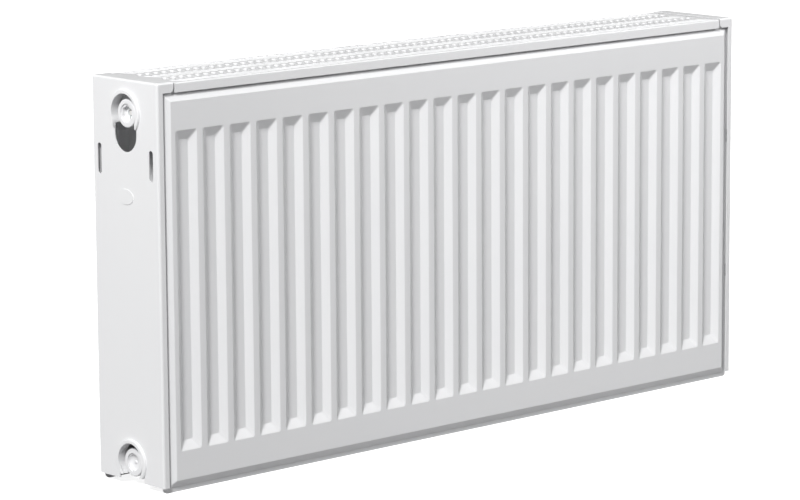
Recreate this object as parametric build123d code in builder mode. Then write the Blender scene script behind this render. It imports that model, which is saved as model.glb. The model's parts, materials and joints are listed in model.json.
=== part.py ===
"""Wall radiator, double panel with double convector, with a built-in valve.

Two welded water panels stand back to back with two corrugated convector sheets between
them.  Corner connectors join the panels, a top grille and two end covers close the
casing, and the thermostatic valve insert sits in the right-hand top connector.

Millimetres.  +Z is up, the front faces -Y and the length runs along X.  While a piece is
being made, X = 0 and Y = 0 are the middle of the casing.  Each piece is then moved by
TO_ORIGIN, so that the written origin is the middle of the footprint's box.
"""
from build123d import *
from math import hypot
import os

# ---- driving dimensions ---------------------------------------------------------------
LENGTH = 800.0  # over the end covers
HEIGHT = 400.0  # seam lips to the top of the covers
DEPTH = 105.0  # panel face to panel face
MODULE = 100.0 / 3.0  # flute pitch
FLUTES = 23

# pressed panel sheets
SHEET = 1.2
PRESS = 5.5  # depth of the pressing, face to seam
FACE_L = 770.0
FACE_H = 369.5
FACE_BEVEL = 7.5
SEAM_L = 793.0
SEAM_H = 393.5
FLUTE_W = 26.0
FLUTE_H = 312.5
FLUTE_SIDE_RUN = 7.0
FLUTE_END_RUN = 9.5
PANEL_Z = SEAM_H / 2
CONTACT_Y = DEPTH / 2 - PRESS - SHEET  # seam plane of each panel, from the middle
GAP_Y = CONTACT_Y - PRESS - SHEET  # inner face of each panel, from the middle

# convector sheets
FIN_T = 0.6
FIN_FLAT = 6.0
FIN_Z0 = 75.0
FIN_Z1 = 345.0
FIN_CLEAR_Y = 3.0  # half of the gap between the two convectors

# corner connectors and their tappings
HUB_Z0 = 23.5
HUB_SPACING = 343.0
HUB_Z1 = HUB_Z0 + HUB_SPACING
TUBE_X = 370.0
TUBE_R = 11.0
TUBE_BORE_R = 8.0
BOSS_R = 14.0
BOSS_END = 397.5
TAP_R = 9.3
TAP_DEPTH = 16.5
LINK_R = 6.0
SEAT_R = 4.5
MOUTH_ROUND = 1.5  # softened rim of each boss

# plugs
PLUG_R = 9.25
PLUG_TOP = BOSS_END - 1.0
PLUG_L = 14.0
GASKET_T = PLUG_TOP - PLUG_L - (BOSS_END - TAP_DEPTH)
DISH_R = 8.0
DISH_DEPTH = 3.0
HEX_KEY_R = 4.6
HEX_KEY_DEPTH = 4.0
VENT_HEX_R = 8.0  # across the corners, halved
VENT_HEX_DEPTH = 4.0
POCKET_R = 5.6
POCKET_DEPTH = 8.5
SCREW_R = 2.5
SCREW_SQUARE = 4.4
SCREW_SUNK = 0.5  # below the top of the nozzle
NOZZLE_R = 5.5
NOZZLE_BORE_R = 3.4
NOZZLE_NOTCH = 2.0
RUNNING = 0.1  # clearance of small turning pieces
CLOSE_FIT = 0.05  # clearance of a stem in its hole

# bottom connections
PORT_SPACING = 50.0
RETURN_X = 340.0
SUPPLY_X = RETURN_X - PORT_SPACING
PORT_BODY = 27.0
PORT_Z0 = 2.0
PORT_Z1 = 38.0
PORT_DEPTH = 16.0
PORT_CHAMFER = 3.0
STUB_R = 8.0
BRACKET_T = 2.0
RISER_X = 386.5
RISER_R = 7.0
RISER_BORE_R = 5.0
RISER_RUN_Z = 59.0
RISER_BEND = 17.0
RISER_TOP = 345.0
SOCKET_R = 9.5

# valve insert, from the boss outwards
INSERT_THREAD_L = 5.0
O_RING_T = 1.2
O_RING_R = 12.0
HEX_R = 15.0
HEX_END = 402.0
HEAD_THREAD_R = 15.0  # M30 x 1.5 for a thermostatic head
HEAD_THREAD_END = 411.0
NOSE_R = 6.0
NOSE_END = 414.0
SPRING_ROOM_R = 5.3
SPRING_ROOM_END = 406.0
PIN_R = 3.0
PIN_END = 416.5
PIN_TRAVEL = 2.3
PIN_COLLAR_R = 5.0
BUSH_L = 2.0
DISC_R = 6.9
DISC_T = 3.0
DISC_GAP = PIN_TRAVEL + 0.1
TENON_R = 2.0  # end of the pin inside the rubber disc
BACKING_R = 6.0  # flange of the pin behind the rubber disc
THIN = 1.0  # thickness of the pin's flange, its collar and the disc's closed end
COLLAR_START = SPRING_ROOM_END - 1.5
SPRING_R = 4.2
SPRING_WIRE_R = 0.45
SPRING_PITCH = 2.2
SPRING_END_GAP = 0.05
PRESET_R = 10.5
PRESET_END = NOSE_END + 0.5
PRESET_NOTCHES = 8
PRESET_NOTCH_L = 2.4
PRESET_NOTCH_W = 1.6
CAP_R = 16.3
CAP_BORE_R = 15.1
CAP_START = 402.3
CAP_RIM = 2.0
CAP_ROOF = 417.0
CAP_END = 420.5
CAP_ROUND = 1.5
CAP_GROOVES = 20
CAP_GROOVE_R = 1.1
CAP_GROOVE_OUT = 0.6  # how far outside the cap's skin a groove's axis lies

# top grille
GRILLE_T = 0.8
GRILLE_L = 756.4
GRILLE_TOP = 399.0
GRILLE_LIP_Z = 389.6
COVER_D = 102.0
SLOT_PITCH = 10.0
SLOT_COLUMNS = 74
SLOT_ROWS = 5
SLOT_ROW_PITCH = 19.8
SLOT_L = 18.5
SLOT_W = 5.0
SLOT_LEAN = 30.0  # rows lean to and fro, so that the bars run in a zigzag

# end covers
COVER_T = 1.0
COVER_Z0 = 6.0
COVER_ROUND = 2.5
COVER_RETURN = 7.0
COVER_TOP_RETURN = 20.0
COVER_TOP_LIP = 10.0
TAB_ROUND = 4.0  # lower corner of each tab beside the grille
COLLAR_R = 22.8
COLLAR_UP = 2.5
COLLAR_IN = 7.0
COLLAR_ROUND = 1.5
OPENING_R = 19.0
OPENING_FORWARD = 1.5  # openings lie this far in front of the hubs, and above them
OPENING_UP = 1.0
KEYHOLE_W = 33.6
KEYHOLE_Z = 329.6
ARCH_COLLAR_Z = 11.0
CLIP_SLOT_Y = 40.0
CLIP_SLOT_Z = 319.6
CLIP_SLOT_W = 6.0
CLIP_SLOT_L = 30.0
PAD_Z = 286.0
PAD_UP = 0.5
PAD_L = 24.0
PAD_H = 15.0

# spring clips that straddle the panels' seams
CLIP_T = 0.8
CLIP_W = 14.0
CLIP_GAP = 0.4
CLIP_LEG = 3.6
CLIP_WELD = 0.5
CLIP_X = (-300.0, -100.0, 100.0, 300.0)
CLIP_Z = (120.0, 270.0)

# hanging lugs behind the rear panel
LUG_OUT = 9.0
LUG_T = 2.0
LUG_H = 45.0
LUG_FOOT = 6.6
LUG_FLUTE = 3  # the lugs stand over this flute, counted from each end
LUG_Z = (95.0, 305.0)

# where the middle of the casing lies from the written origin
TO_ORIGIN = Location(((LENGTH / 2 + COLLAR_UP - CAP_END) / 2, -LUG_OUT / 2, 0))


def facing_x(side, x, z):
    """Plane at x whose normal points along X on the given side, -1 left or 1 right."""
    return Plane(origin=(x * side, 0, z), x_dir=(0, side, 0), z_dir=(side, 0, 0))


def across(x, z):
    """Plane in the middle of the casing with its normal along +Y."""
    return Plane(origin=(x, 0, z), x_dir=(1, 0, 0), z_dir=(0, 1, 0))


def save(piece, name):
    """Move a finished piece to the written origin, label it and write it."""
    piece.part.move(TO_ORIGIN)
    piece.part.label = name
    export_step(piece.part, "parts/" + name + ".step")


# ---- water panels -----------------------------------------------------------------------
def wall_growth(run):
    """Sideways shift of a sloping wall's far face, at the depth of the sheet's far face."""
    return SHEET * (hypot(run, PRESS) - run) / PRESS


def flute_wedge(grow_side, grow_end, turn):
    """Room of one flute: widest at the face, narrowest at its floor."""
    width = FLUTE_W + 2 * grow_side
    height = FLUTE_H + 2 * grow_end
    Wedge(width, PRESS, height,
          FLUTE_SIDE_RUN, FLUTE_END_RUN, width - FLUTE_SIDE_RUN, height - FLUTE_END_RUN,
          rotation=(0, 0, turn), mode=Mode.SUBTRACT)


def face_wedge(shrink, turn):
    """Raised field of the pressing: narrowest at the face, widest at the seam."""
    width = FACE_L - 2 * shrink
    height = FACE_H - 2 * shrink
    Wedge(width, PRESS, height,
          -FACE_BEVEL, -FACE_BEVEL, width + FACE_BEVEL, height + FACE_BEVEL,
          rotation=(0, 0, turn))


def pressed_sheet(contact_y, side, holes):
    """One pressed sheet: its face points along Y on the given side of its seam plane."""
    turn = 0 if side < 0 else 180
    outer_y = contact_y + side * (SHEET + PRESS / 2)
    inner_y = contact_y + side * PRESS / 2
    with BuildPart() as room:
        with Locations((0, inner_y, PANEL_Z)):
            face_wedge(wall_growth(FACE_BEVEL), turn)
        with Locations((0, inner_y, PANEL_Z)):
            with GridLocations(MODULE, 1, FLUTES, 1):
                flute_wedge(wall_growth(FLUTE_SIDE_RUN), wall_growth(FLUTE_END_RUN), turn)
    with BuildPart() as sheet:
        with Locations((0, outer_y, PANEL_Z)):
            face_wedge(0, turn)
        with Locations((0, outer_y, PANEL_Z)):
            with GridLocations(MODULE, 1, FLUTES, 1):
                flute_wedge(0, 0, turn)
        with Locations((0, contact_y + side * SHEET / 2, PANEL_Z)):
            Box(SEAM_L, SHEET, SEAM_H)
        add(room.part, mode=Mode.SUBTRACT)
        if holes:
            for z in (HUB_Z0, HUB_Z1):
                for x in (-TUBE_X, TUBE_X):
                    with BuildSketch(across(x, z)):
                        Circle(TUBE_BORE_R)
                    extrude(amount=DEPTH, both=True, mode=Mode.SUBTRACT)
    return sheet


front_outer = pressed_sheet(-CONTACT_Y, -1, False)
front_inner = pressed_sheet(-CONTACT_Y, 1, True)
rear_inner = pressed_sheet(CONTACT_Y, -1, True)
rear_outer = pressed_sheet(CONTACT_Y, 1, False)


# ---- convector sheets -------------------------------------------------------------------
def convector(side):
    """Corrugated sheet: its crests are welded to the panel between two flutes."""
    crest_y = side * (GAP_Y - FIN_T / 2)
    valley_y = side * (FIN_CLEAR_Y + FIN_T / 2)
    crests = FLUTES - 1
    points = []
    for index in range(2 * crests - 1):
        x = (index - (crests - 1)) * MODULE / 2
        y = crest_y if index % 2 == 0 else valley_y
        points += [(x - FIN_FLAT / 2, y), (x + FIN_FLAT / 2, y)]
    with BuildPart() as fins:
        with BuildSketch(Plane.XY.offset(FIN_Z0)):
            with BuildLine() as wave:
                Polyline(*points)
            trace(wave.line, line_width=FIN_T)
        extrude(amount=FIN_Z1 - FIN_Z0)
    return fins


front_fins = convector(-1)
rear_fins = convector(1)


# ---- corner connectors ------------------------------------------------------------------
def corner_connector(side, hub_z, link_r):
    """Cross tube between the panels with a tapped boss that points out of the end."""
    with BuildPart() as tee:
        with BuildSketch(across(side * TUBE_X, hub_z)):
            Circle(TUBE_R)
        extrude(amount=GAP_Y, both=True)
        with BuildSketch(facing_x(side, TUBE_X, hub_z)):
            Circle(BOSS_R)
        extrude(amount=BOSS_END - TUBE_X)
        mouth = tee.edges().filter_by(GeomType.CIRCLE).sort_by(Axis.X)
        fillet(mouth[-1] if side > 0 else mouth[0], MOUTH_ROUND)
        with BuildSketch(across(side * TUBE_X, hub_z)):
            Circle(TUBE_BORE_R)
        extrude(amount=GAP_Y, both=True, mode=Mode.SUBTRACT)
        with BuildSketch(facing_x(side, BOSS_END, hub_z)):
            Circle(TAP_R)
        extrude(amount=-TAP_DEPTH, mode=Mode.SUBTRACT)
        with BuildSketch(facing_x(side, BOSS_END, hub_z)):
            Circle(link_r)
        extrude(amount=TUBE_X - BOSS_END, mode=Mode.SUBTRACT)
    return tee


top_left = corner_connector(-1, HUB_Z1, LINK_R)
bottom_left = corner_connector(-1, HUB_Z0, LINK_R)

# the right-hand bottom connector also feeds the return port beside it
with BuildPart() as bottom_right:
    add(corner_connector(1, HUB_Z0, LINK_R).part)
    with BuildSketch(facing_x(1, RETURN_X + PORT_BODY / 2, HUB_Z0)):
        Circle(STUB_R)
    extrude(amount=TUBE_X - TUBE_BORE_R - RETURN_X - PORT_BODY / 2)
    with BuildSketch(across(TUBE_X, HUB_Z0)):
        Circle(TUBE_BORE_R)
    extrude(amount=GAP_Y, both=True, mode=Mode.SUBTRACT)
    with BuildSketch(facing_x(1, RETURN_X, HUB_Z0)):
        Circle(LINK_R)
    extrude(amount=TUBE_X - RETURN_X, mode=Mode.SUBTRACT)

# the right-hand top connector holds the valve seat, and the riser comes up under it
with BuildPart() as valve_housing:
    add(corner_connector(1, HUB_Z1, SEAT_R).part)
    with BuildSketch(Plane.XY.offset(RISER_TOP)):
        with Locations((RISER_X, 0)):
            Circle(SOCKET_R)
    extrude(amount=HUB_Z1 - RISER_TOP)
    with BuildSketch(facing_x(1, BOSS_END, HUB_Z1)):
        Circle(TAP_R)
    extrude(amount=-TAP_DEPTH, mode=Mode.SUBTRACT)
    with BuildSketch(Plane.XY.offset(RISER_TOP)):
        with Locations((RISER_X, 0)):
            Circle(RISER_BORE_R)
    extrude(amount=HUB_Z1 - RISER_TOP, mode=Mode.SUBTRACT)
    with BuildSketch(across(TUBE_X, HUB_Z1)):
        Circle(TUBE_BORE_R)
    extrude(amount=GAP_Y, both=True, mode=Mode.SUBTRACT)


# ---- plugs in the unused tappings -------------------------------------------------------
def plug_blank(side, hub_z):
    """Threaded plug whose dished face has a hexagon socket."""
    with BuildPart() as plug:
        with BuildSketch(facing_x(side, PLUG_TOP, hub_z)):
            Circle(PLUG_R)
        extrude(amount=-PLUG_L)
        with BuildSketch(facing_x(side, PLUG_TOP, hub_z)):
            Circle(DISH_R)
        extrude(amount=-DISH_DEPTH, mode=Mode.SUBTRACT)
        with BuildSketch(facing_x(side, PLUG_TOP - DISH_DEPTH, hub_z)):
            RegularPolygon(HEX_KEY_R, 6)
        extrude(amount=-HEX_KEY_DEPTH, mode=Mode.SUBTRACT)
    return plug


def plug_gasket(side, hub_z):
    """Sealing ring between a plug's inner end and the bottom of its tapping."""
    with BuildPart() as gasket:
        with BuildSketch(facing_x(side, PLUG_TOP - PLUG_L, hub_z)):
            Circle(PLUG_R)
            Circle(LINK_R, mode=Mode.SUBTRACT)
        extrude(amount=-GASKET_T)
    return gasket


bottom_left_plug = plug_blank(-1, HUB_Z0)
bottom_left_gasket = plug_gasket(-1, HUB_Z0)
bottom_right_plug = plug_blank(1, HUB_Z0)
bottom_right_gasket = plug_gasket(1, HUB_Z0)
vent_gasket = plug_gasket(-1, HUB_Z1)

with BuildPart() as vent_plug:
    with BuildSketch(facing_x(-1, PLUG_TOP, HUB_Z1)):
        Circle(PLUG_R)
    extrude(amount=-PLUG_L)
    with BuildSketch(facing_x(-1, PLUG_TOP, HUB_Z1)):
        RegularPolygon(VENT_HEX_R, 6, rotation=30)
    extrude(amount=-VENT_HEX_DEPTH, mode=Mode.SUBTRACT)
    with BuildSketch(facing_x(-1, PLUG_TOP, HUB_Z1)):
        Circle(POCKET_R)
    extrude(amount=-POCKET_DEPTH, mode=Mode.SUBTRACT)
    with BuildSketch(facing_x(-1, PLUG_TOP, HUB_Z1)):
        Circle(SCREW_R + CLOSE_FIT)
    extrude(amount=-PLUG_L, mode=Mode.SUBTRACT)

# the nozzle turns in the plug's pocket, so that its notch can point at a cup
NOZZLE_TOP = PLUG_TOP - VENT_HEX_DEPTH
NOZZLE_L = POCKET_DEPTH - VENT_HEX_DEPTH - RUNNING
with BuildPart() as vent_nozzle:
    with BuildSketch(facing_x(-1, PLUG_TOP - POCKET_DEPTH + RUNNING, HUB_Z1)):
        Circle(NOZZLE_R)
        Circle(NOZZLE_BORE_R, mode=Mode.SUBTRACT)
    extrude(amount=NOZZLE_L)
    with BuildSketch(facing_x(-1, NOZZLE_TOP, HUB_Z1)):
        with Locations((0, -NOZZLE_R)):
            Rectangle(NOZZLE_NOTCH, NOZZLE_R)
    extrude(amount=-NOZZLE_NOTCH, mode=Mode.SUBTRACT)

with BuildPart() as bleed_screw:
    with BuildSketch(facing_x(-1, NOZZLE_TOP - SCREW_SUNK, HUB_Z1)):
        Rectangle(SCREW_SQUARE, SCREW_SQUARE)
    extrude(amount=SCREW_SUNK - NOZZLE_L)
    with BuildSketch(facing_x(-1, PLUG_TOP - POCKET_DEPTH + RUNNING, HUB_Z1)):
        Circle(SCREW_R)
    extrude(amount=-(PLUG_L - POCKET_DEPTH))


# ---- bottom connections and riser -------------------------------------------------------
def port_body(x):
    """Block with a G 1/2 tapping that points down."""
    with BuildPart() as port:
        with BuildSketch(Plane.XY.offset(PORT_Z0)):
            with Locations((x, 0)):
                Rectangle(PORT_BODY, PORT_BODY)
        extrude(amount=PORT_Z1 - PORT_Z0)
        chamfer(port.edges().filter_by(Axis.Z), PORT_CHAMFER)
        with BuildSketch(Plane.XY.offset(PORT_Z0)):
            with Locations((x, 0)):
                Circle(TAP_R)
        extrude(amount=PORT_DEPTH, mode=Mode.SUBTRACT)
    return port


with BuildPart() as supply_port:
    add(port_body(SUPPLY_X).part)
    with BuildSketch(Plane.XY.offset(PORT_Z0)):
        with Locations((SUPPLY_X, 0)):
            Circle(RISER_BORE_R)
    extrude(amount=PORT_Z1 - PORT_Z0, mode=Mode.SUBTRACT)

with BuildPart() as return_port:
    add(port_body(RETURN_X).part)
    with BuildSketch(Plane.XY.offset(PORT_Z0)):
        with Locations((RETURN_X, 0)):
            Circle(LINK_R)
    extrude(amount=HUB_Z0 + LINK_R - PORT_Z0, mode=Mode.SUBTRACT)
    with BuildSketch(facing_x(1, RETURN_X, HUB_Z0)):
        Circle(LINK_R)
    extrude(amount=PORT_BODY / 2, mode=Mode.SUBTRACT)

# strip across both panels that carries the two port bodies
with BuildPart() as port_bracket:
    with BuildSketch(Plane.XY.offset(PORT_Z1)):
        with Locations(((SUPPLY_X + RETURN_X) / 2, 0)):
            Rectangle(PORT_SPACING + PORT_BODY, 2 * GAP_Y)
        with Locations((SUPPLY_X, 0)):
            Circle(RISER_R + CLOSE_FIT, mode=Mode.SUBTRACT)
    extrude(amount=BRACKET_T)

with BuildPart() as riser:
    with BuildLine() as route:
        FilletPolyline((SUPPLY_X, 0, PORT_Z1), (SUPPLY_X, 0, RISER_RUN_Z),
                       (RISER_X, 0, RISER_RUN_Z), (RISER_X, 0, RISER_TOP),
                       radius=RISER_BEND)
    with BuildSketch(Plane.XY.offset(PORT_Z1)):
        with Locations((SUPPLY_X, 0)):
            Circle(RISER_R)
            Circle(RISER_BORE_R, mode=Mode.SUBTRACT)
    sweep(path=route.wires()[0])


# ---- valve insert -----------------------------------------------------------------------
def valve_plane(x):
    """Plane across the valve's axis at x, facing out of the right-hand end."""
    return facing_x(1, x, HUB_Z1)


def turned(start, end, radius, bore):
    """Round stretch along the valve's axis, added to the piece in work."""
    with BuildSketch(valve_plane(start)) as section:
        Circle(radius)
        if bore:
            Circle(bore, mode=Mode.SUBTRACT)
    extrude(section.sketch, amount=end - start)


INSERT_START = BOSS_END - INSERT_THREAD_L
HEX_START = BOSS_END + O_RING_T

with BuildPart() as valve_insert:
    turned(INSERT_START, HEX_START, PLUG_R, SPRING_ROOM_R)
    with BuildSketch(valve_plane(HEX_START)):
        RegularPolygon(HEX_R, 6)
        Circle(SPRING_ROOM_R, mode=Mode.SUBTRACT)
    extrude(amount=HEX_END - HEX_START)
    turned(HEX_END, HEAD_THREAD_END, HEAD_THREAD_R, SPRING_ROOM_R)
    turned(SPRING_ROOM_END, HEAD_THREAD_END, HEAD_THREAD_R, PIN_R + CLOSE_FIT)
    turned(HEAD_THREAD_END, NOSE_END, NOSE_R, PIN_R + CLOSE_FIT)

with BuildPart() as valve_o_ring:
    turned(BOSS_END, HEX_START, O_RING_R, PLUG_R)

with BuildPart() as valve_bush:
    turned(INSERT_START, INSERT_START + BUSH_L, SPRING_ROOM_R, PIN_R + CLOSE_FIT)

SEAT_X = BOSS_END - TAP_DEPTH
DISC_START = SEAT_X + DISC_GAP
DISC_END = DISC_START + DISC_T

with BuildPart() as valve_pin:
    turned(DISC_START + THIN, DISC_END, TENON_R, 0)
    turned(DISC_END, DISC_END + THIN, BACKING_R, 0)
    turned(DISC_END, PIN_END, PIN_R, 0)
    turned(COLLAR_START, COLLAR_START + THIN, PIN_COLLAR_R, 0)

with BuildPart() as valve_washer:
    turned(DISC_START, DISC_END, DISC_R, 0)
    with BuildSketch(valve_plane(DISC_START + THIN)):
        Circle(TENON_R)
    extrude(amount=DISC_T - THIN, mode=Mode.SUBTRACT)

SPRING_START = INSERT_START + BUSH_L + SPRING_WIRE_R + SPRING_END_GAP
SPRING_FINISH = COLLAR_START - SPRING_WIRE_R - SPRING_END_GAP
with BuildPart() as valve_spring:
    with BuildLine() as coil:
        Helix(pitch=SPRING_PITCH, height=SPRING_FINISH - SPRING_START, radius=SPRING_R,
              center=(SPRING_START, 0, HUB_Z1), direction=(1, 0, 0))
    with BuildSketch(Plane(origin=coil.line @ 0, z_dir=coil.line % 0)):
        Circle(SPRING_WIRE_R)
    sweep(path=coil.line)

# notched ring that sets the largest flow
with BuildPart() as preset_ring:
    turned(HEAD_THREAD_END + RUNNING, PRESET_END, PRESET_R, NOSE_R + RUNNING)
    with BuildSketch(valve_plane(PRESET_END)):
        with PolarLocations(PRESET_R, PRESET_NOTCHES):
            Rectangle(PRESET_NOTCH_L, PRESET_NOTCH_W)
    extrude(amount=-PRESET_NOTCH_W, mode=Mode.SUBTRACT)

with BuildPart() as valve_cap:
    turned(CAP_START, CAP_END, CAP_R, 0)
    fillet(valve_cap.edges().filter_by(GeomType.CIRCLE).sort_by(Axis.X)[-1], CAP_ROUND)
    with BuildSketch(valve_plane(CAP_START)):
        Circle(CAP_BORE_R)
    extrude(amount=CAP_ROOF - CAP_START, mode=Mode.SUBTRACT)
    with BuildSketch(valve_plane(CAP_START + CAP_RIM)):
        with PolarLocations(CAP_R + CAP_GROOVE_OUT, CAP_GROOVES):
            Circle(CAP_GROOVE_R)
    extrude(amount=CAP_END - CAP_START, mode=Mode.SUBTRACT)


# ---- top grille -------------------------------------------------------------------------
GRILLE_LIP_H = GRILLE_TOP - GRILLE_LIP_Z
with BuildPart() as top_grille:
    with BuildSketch(Plane.XY.offset(GRILLE_TOP)):
        Rectangle(GRILLE_L, COVER_D)
        for row in range(SLOT_ROWS):
            lean = SLOT_LEAN if row % 2 else -SLOT_LEAN
            with Locations((0, (row - (SLOT_ROWS - 1) / 2) * SLOT_ROW_PITCH)):
                with GridLocations(SLOT_PITCH, 1, SLOT_COLUMNS, 1):
                    SlotOverall(SLOT_L, SLOT_W, rotation=90 - lean, mode=Mode.SUBTRACT)
    extrude(amount=-GRILLE_T)
    for side in (-1, 1):
        with Locations((0, side * (COVER_D - GRILLE_T) / 2, GRILLE_TOP - GRILLE_LIP_H / 2)):
            Box(GRILLE_L, GRILLE_T, GRILLE_LIP_H)

LEG_OFFSET = SHEET + CLIP_GAP + CLIP_T / 2

# clips whose legs straddle the panels' top seams, with a web that carries the grille
GRILLE_CLIP_Z = SEAM_H + CLIP_GAP
GRILLE_WEB_H = GRILLE_TOP - GRILLE_T - GRILLE_CLIP_Z
with BuildPart() as grille_clips:
    for x in CLIP_X:
        for side in (-1, 1):
            with BuildSketch(Plane.YZ.offset(x - CLIP_W / 2)):
                with Locations((side * CONTACT_Y, GRILLE_CLIP_Z + CLIP_T / 2)):
                    Rectangle(2 * LEG_OFFSET, CLIP_T)
                with Locations((side * CONTACT_Y, GRILLE_CLIP_Z + GRILLE_WEB_H / 2)):
                    Rectangle(CLIP_T, GRILLE_WEB_H)
                for leg in (-LEG_OFFSET, LEG_OFFSET):
                    with Locations((side * CONTACT_Y + leg, GRILLE_CLIP_Z + CLIP_T - CLIP_LEG / 2)):
                        Rectangle(CLIP_T, CLIP_LEG)
            extrude(amount=CLIP_W)


# ---- end covers -------------------------------------------------------------------------
def cover_block(inset):
    """Body of the left cover, drawn in by inset on its closed sides, past its open ones."""
    half = COVER_D / 2 - inset
    top = HEIGHT - inset
    for reach, low in ((COVER_RETURN, COVER_Z0 - inset),
                       (COVER_TOP_RETURN, HEIGHT - COVER_TOP_LIP - inset)):
        with Locations((-LENGTH / 2 + inset, -half, low)):
            Box(reach, 2 * half, top - low, align=(Align.MIN, Align.MIN, Align.MIN))


def rounded_edges(block):
    """Edges of the end face, its foot apart, and of the top face along X."""
    end_face = block.faces().sort_by(Axis.X)[0]
    top_face = block.faces().sort_by(Axis.Z)[-1]
    return end_face.edges().sort_by(Axis.Z)[1:] + top_face.edges().filter_by(Axis.X)


END_FACE = Plane(origin=(-LENGTH / 2, 0, 0), x_dir=(0, -1, 0), z_dir=(-1, 0, 0))
OPENINGS = [(OPENING_FORWARD, hub_z + OPENING_UP) for hub_z in (HUB_Z0, HUB_Z1)]


def collar(plane, outer_r, amount, mode):
    """Rings around both openings; the lower one stops short of the cover's foot."""
    with BuildSketch(plane) as rings:
        with Locations(*OPENINGS):
            Circle(outer_r)
            Circle(OPENING_R, mode=Mode.SUBTRACT)
        with Locations((0, ARCH_COLLAR_Z)):
            Rectangle(4 * outer_r, 2 * outer_r, align=(Align.CENTER, Align.MAX), mode=Mode.SUBTRACT)
    extrude(rings.sketch, amount=amount, mode=mode)


with BuildPart() as cover_room:
    cover_block(COVER_T)
    fillet(rounded_edges(cover_room), COVER_ROUND - COVER_T)

with BuildPart() as left_cover:
    cover_block(0)
    fillet(rounded_edges(left_cover), COVER_ROUND)
    add(cover_room.part, mode=Mode.SUBTRACT)
    tab_end = COVER_TOP_RETURN - LENGTH / 2
    tab_edges = left_cover.edges().filter_by(Axis.Y).filter_by_position(Axis.X, tab_end, tab_end)
    fillet(tab_edges.sort_by(Axis.Z)[:2], TAB_ROUND)
    collar(END_FACE, COLLAR_R, COLLAR_UP, Mode.ADD)
    rims = left_cover.faces().sort_by(Axis.X)[:2].edges().filter_by(GeomType.CIRCLE)
    fillet(rims.sort_by(SortBy.RADIUS)[-2:], COLLAR_ROUND)
    collar(END_FACE, OPENING_R + COVER_T, -COLLAR_IN, Mode.ADD)
    with BuildSketch(END_FACE):
        with Locations(*OPENINGS):
            Circle(OPENING_R)
        with Locations(OPENINGS[0]):
            Rectangle(2 * OPENING_R, HUB_Z0, align=(Align.CENTER, Align.MAX))
        with Locations((-CLIP_SLOT_Y, CLIP_SLOT_Z), (CLIP_SLOT_Y, CLIP_SLOT_Z)):
            SlotOverall(CLIP_SLOT_L, CLIP_SLOT_W, rotation=90)
    extrude(amount=-COVER_T, mode=Mode.SUBTRACT)
    with BuildSketch(END_FACE.offset(COLLAR_UP)):
        with Locations((OPENING_FORWARD, KEYHOLE_Z + KEYHOLE_W / 2)):
            Circle(KEYHOLE_W / 2)
            Rectangle(KEYHOLE_W, HUB_Z1 - KEYHOLE_Z - KEYHOLE_W / 2,
                      align=(Align.CENTER, Align.MIN))
    extrude(amount=-COLLAR_UP - COLLAR_IN, mode=Mode.SUBTRACT)
    with BuildSketch(END_FACE):
        with Locations((0, PAD_Z)):
            Ellipse(PAD_L / 2, PAD_H / 2)
    extrude(amount=PAD_UP)

with BuildPart() as right_cover:
    mirror(left_cover.part, about=Plane.YZ)


def cover_clips(end):
    """Clips on a cover's inside whose legs straddle the panels' end seams."""
    wall_x = LENGTH / 2 - COVER_T
    weld_x = end * (wall_x - CLIP_WELD / 2)
    base_x = end * (wall_x - CLIP_WELD - CLIP_T / 2)
    leg_x = end * (wall_x - CLIP_WELD - CLIP_T - CLIP_LEG / 2)
    with BuildPart() as clips:
        for z in CLIP_Z:
            for side in (-1, 1):
                with BuildSketch(Plane.XY.offset(z - CLIP_W / 2)):
                    with Locations((weld_x, side * CONTACT_Y)):
                        Rectangle(CLIP_WELD, 2 * SHEET)
                    with Locations((base_x, side * CONTACT_Y)):
                        Rectangle(CLIP_T, 2 * LEG_OFFSET + CLIP_T)
                    for leg in (-LEG_OFFSET, LEG_OFFSET):
                        with Locations((leg_x, side * CONTACT_Y + leg)):
                            Rectangle(CLIP_LEG, CLIP_T)
                extrude(amount=CLIP_W)
    return clips


left_clips = cover_clips(-1)
right_clips = cover_clips(1)


# ---- hanging lugs -----------------------------------------------------------------------
def hanging_lug(side, z):
    """Bridge welded over one flute of the rear panel: a wall hook enters it from below."""
    middle_x = side * ((FLUTES - 1) / 2 - LUG_FLUTE) * MODULE
    wall_x = MODULE / 2 - LUG_FOOT / 2
    with BuildPart() as lug:
        with BuildSketch(Plane.XY.offset(z)):
            with Locations((middle_x, DEPTH / 2 + LUG_OUT - LUG_T / 2)):
                Rectangle(2 * wall_x, LUG_T)
            for foot in (-1, 1):
                with Locations((middle_x + foot * (wall_x - LUG_T / 2), DEPTH / 2 + LUG_OUT / 2)):
                    Rectangle(LUG_T, LUG_OUT)
                with Locations((middle_x + foot * MODULE / 2, DEPTH / 2 + LUG_T / 2)):
                    Rectangle(LUG_FOOT, LUG_T)
        extrude(amount=LUG_H)
    return lug


os.makedirs("parts", exist_ok=True)

save(front_outer, "front_panel_outer_sheet")
save(front_inner, "front_panel_inner_sheet")
save(rear_inner, "rear_panel_inner_sheet")
save(rear_outer, "rear_panel_outer_sheet")
save(front_fins, "front_convector_sheet")
save(rear_fins, "rear_convector_sheet")
save(top_left, "top_left_connector")
save(bottom_left, "bottom_left_connector")
save(bottom_right, "bottom_right_connector")
save(valve_housing, "valve_housing")
save(vent_plug, "vent_plug")
save(vent_gasket, "vent_gasket")
save(vent_nozzle, "vent_nozzle")
save(bleed_screw, "bleed_screw")
save(bottom_left_plug, "bottom_left_plug")
save(bottom_left_gasket, "bottom_left_gasket")
save(bottom_right_plug, "bottom_right_plug")
save(bottom_right_gasket, "bottom_right_gasket")
save(supply_port, "supply_port")
save(return_port, "return_port")
save(port_bracket, "port_bracket")
save(riser, "riser_tube")
save(valve_insert, "valve_insert_body")
save(valve_o_ring, "valve_o_ring")
save(valve_bush, "valve_pin_bush")
save(valve_pin, "valve_pin")
save(valve_washer, "valve_washer")
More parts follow.
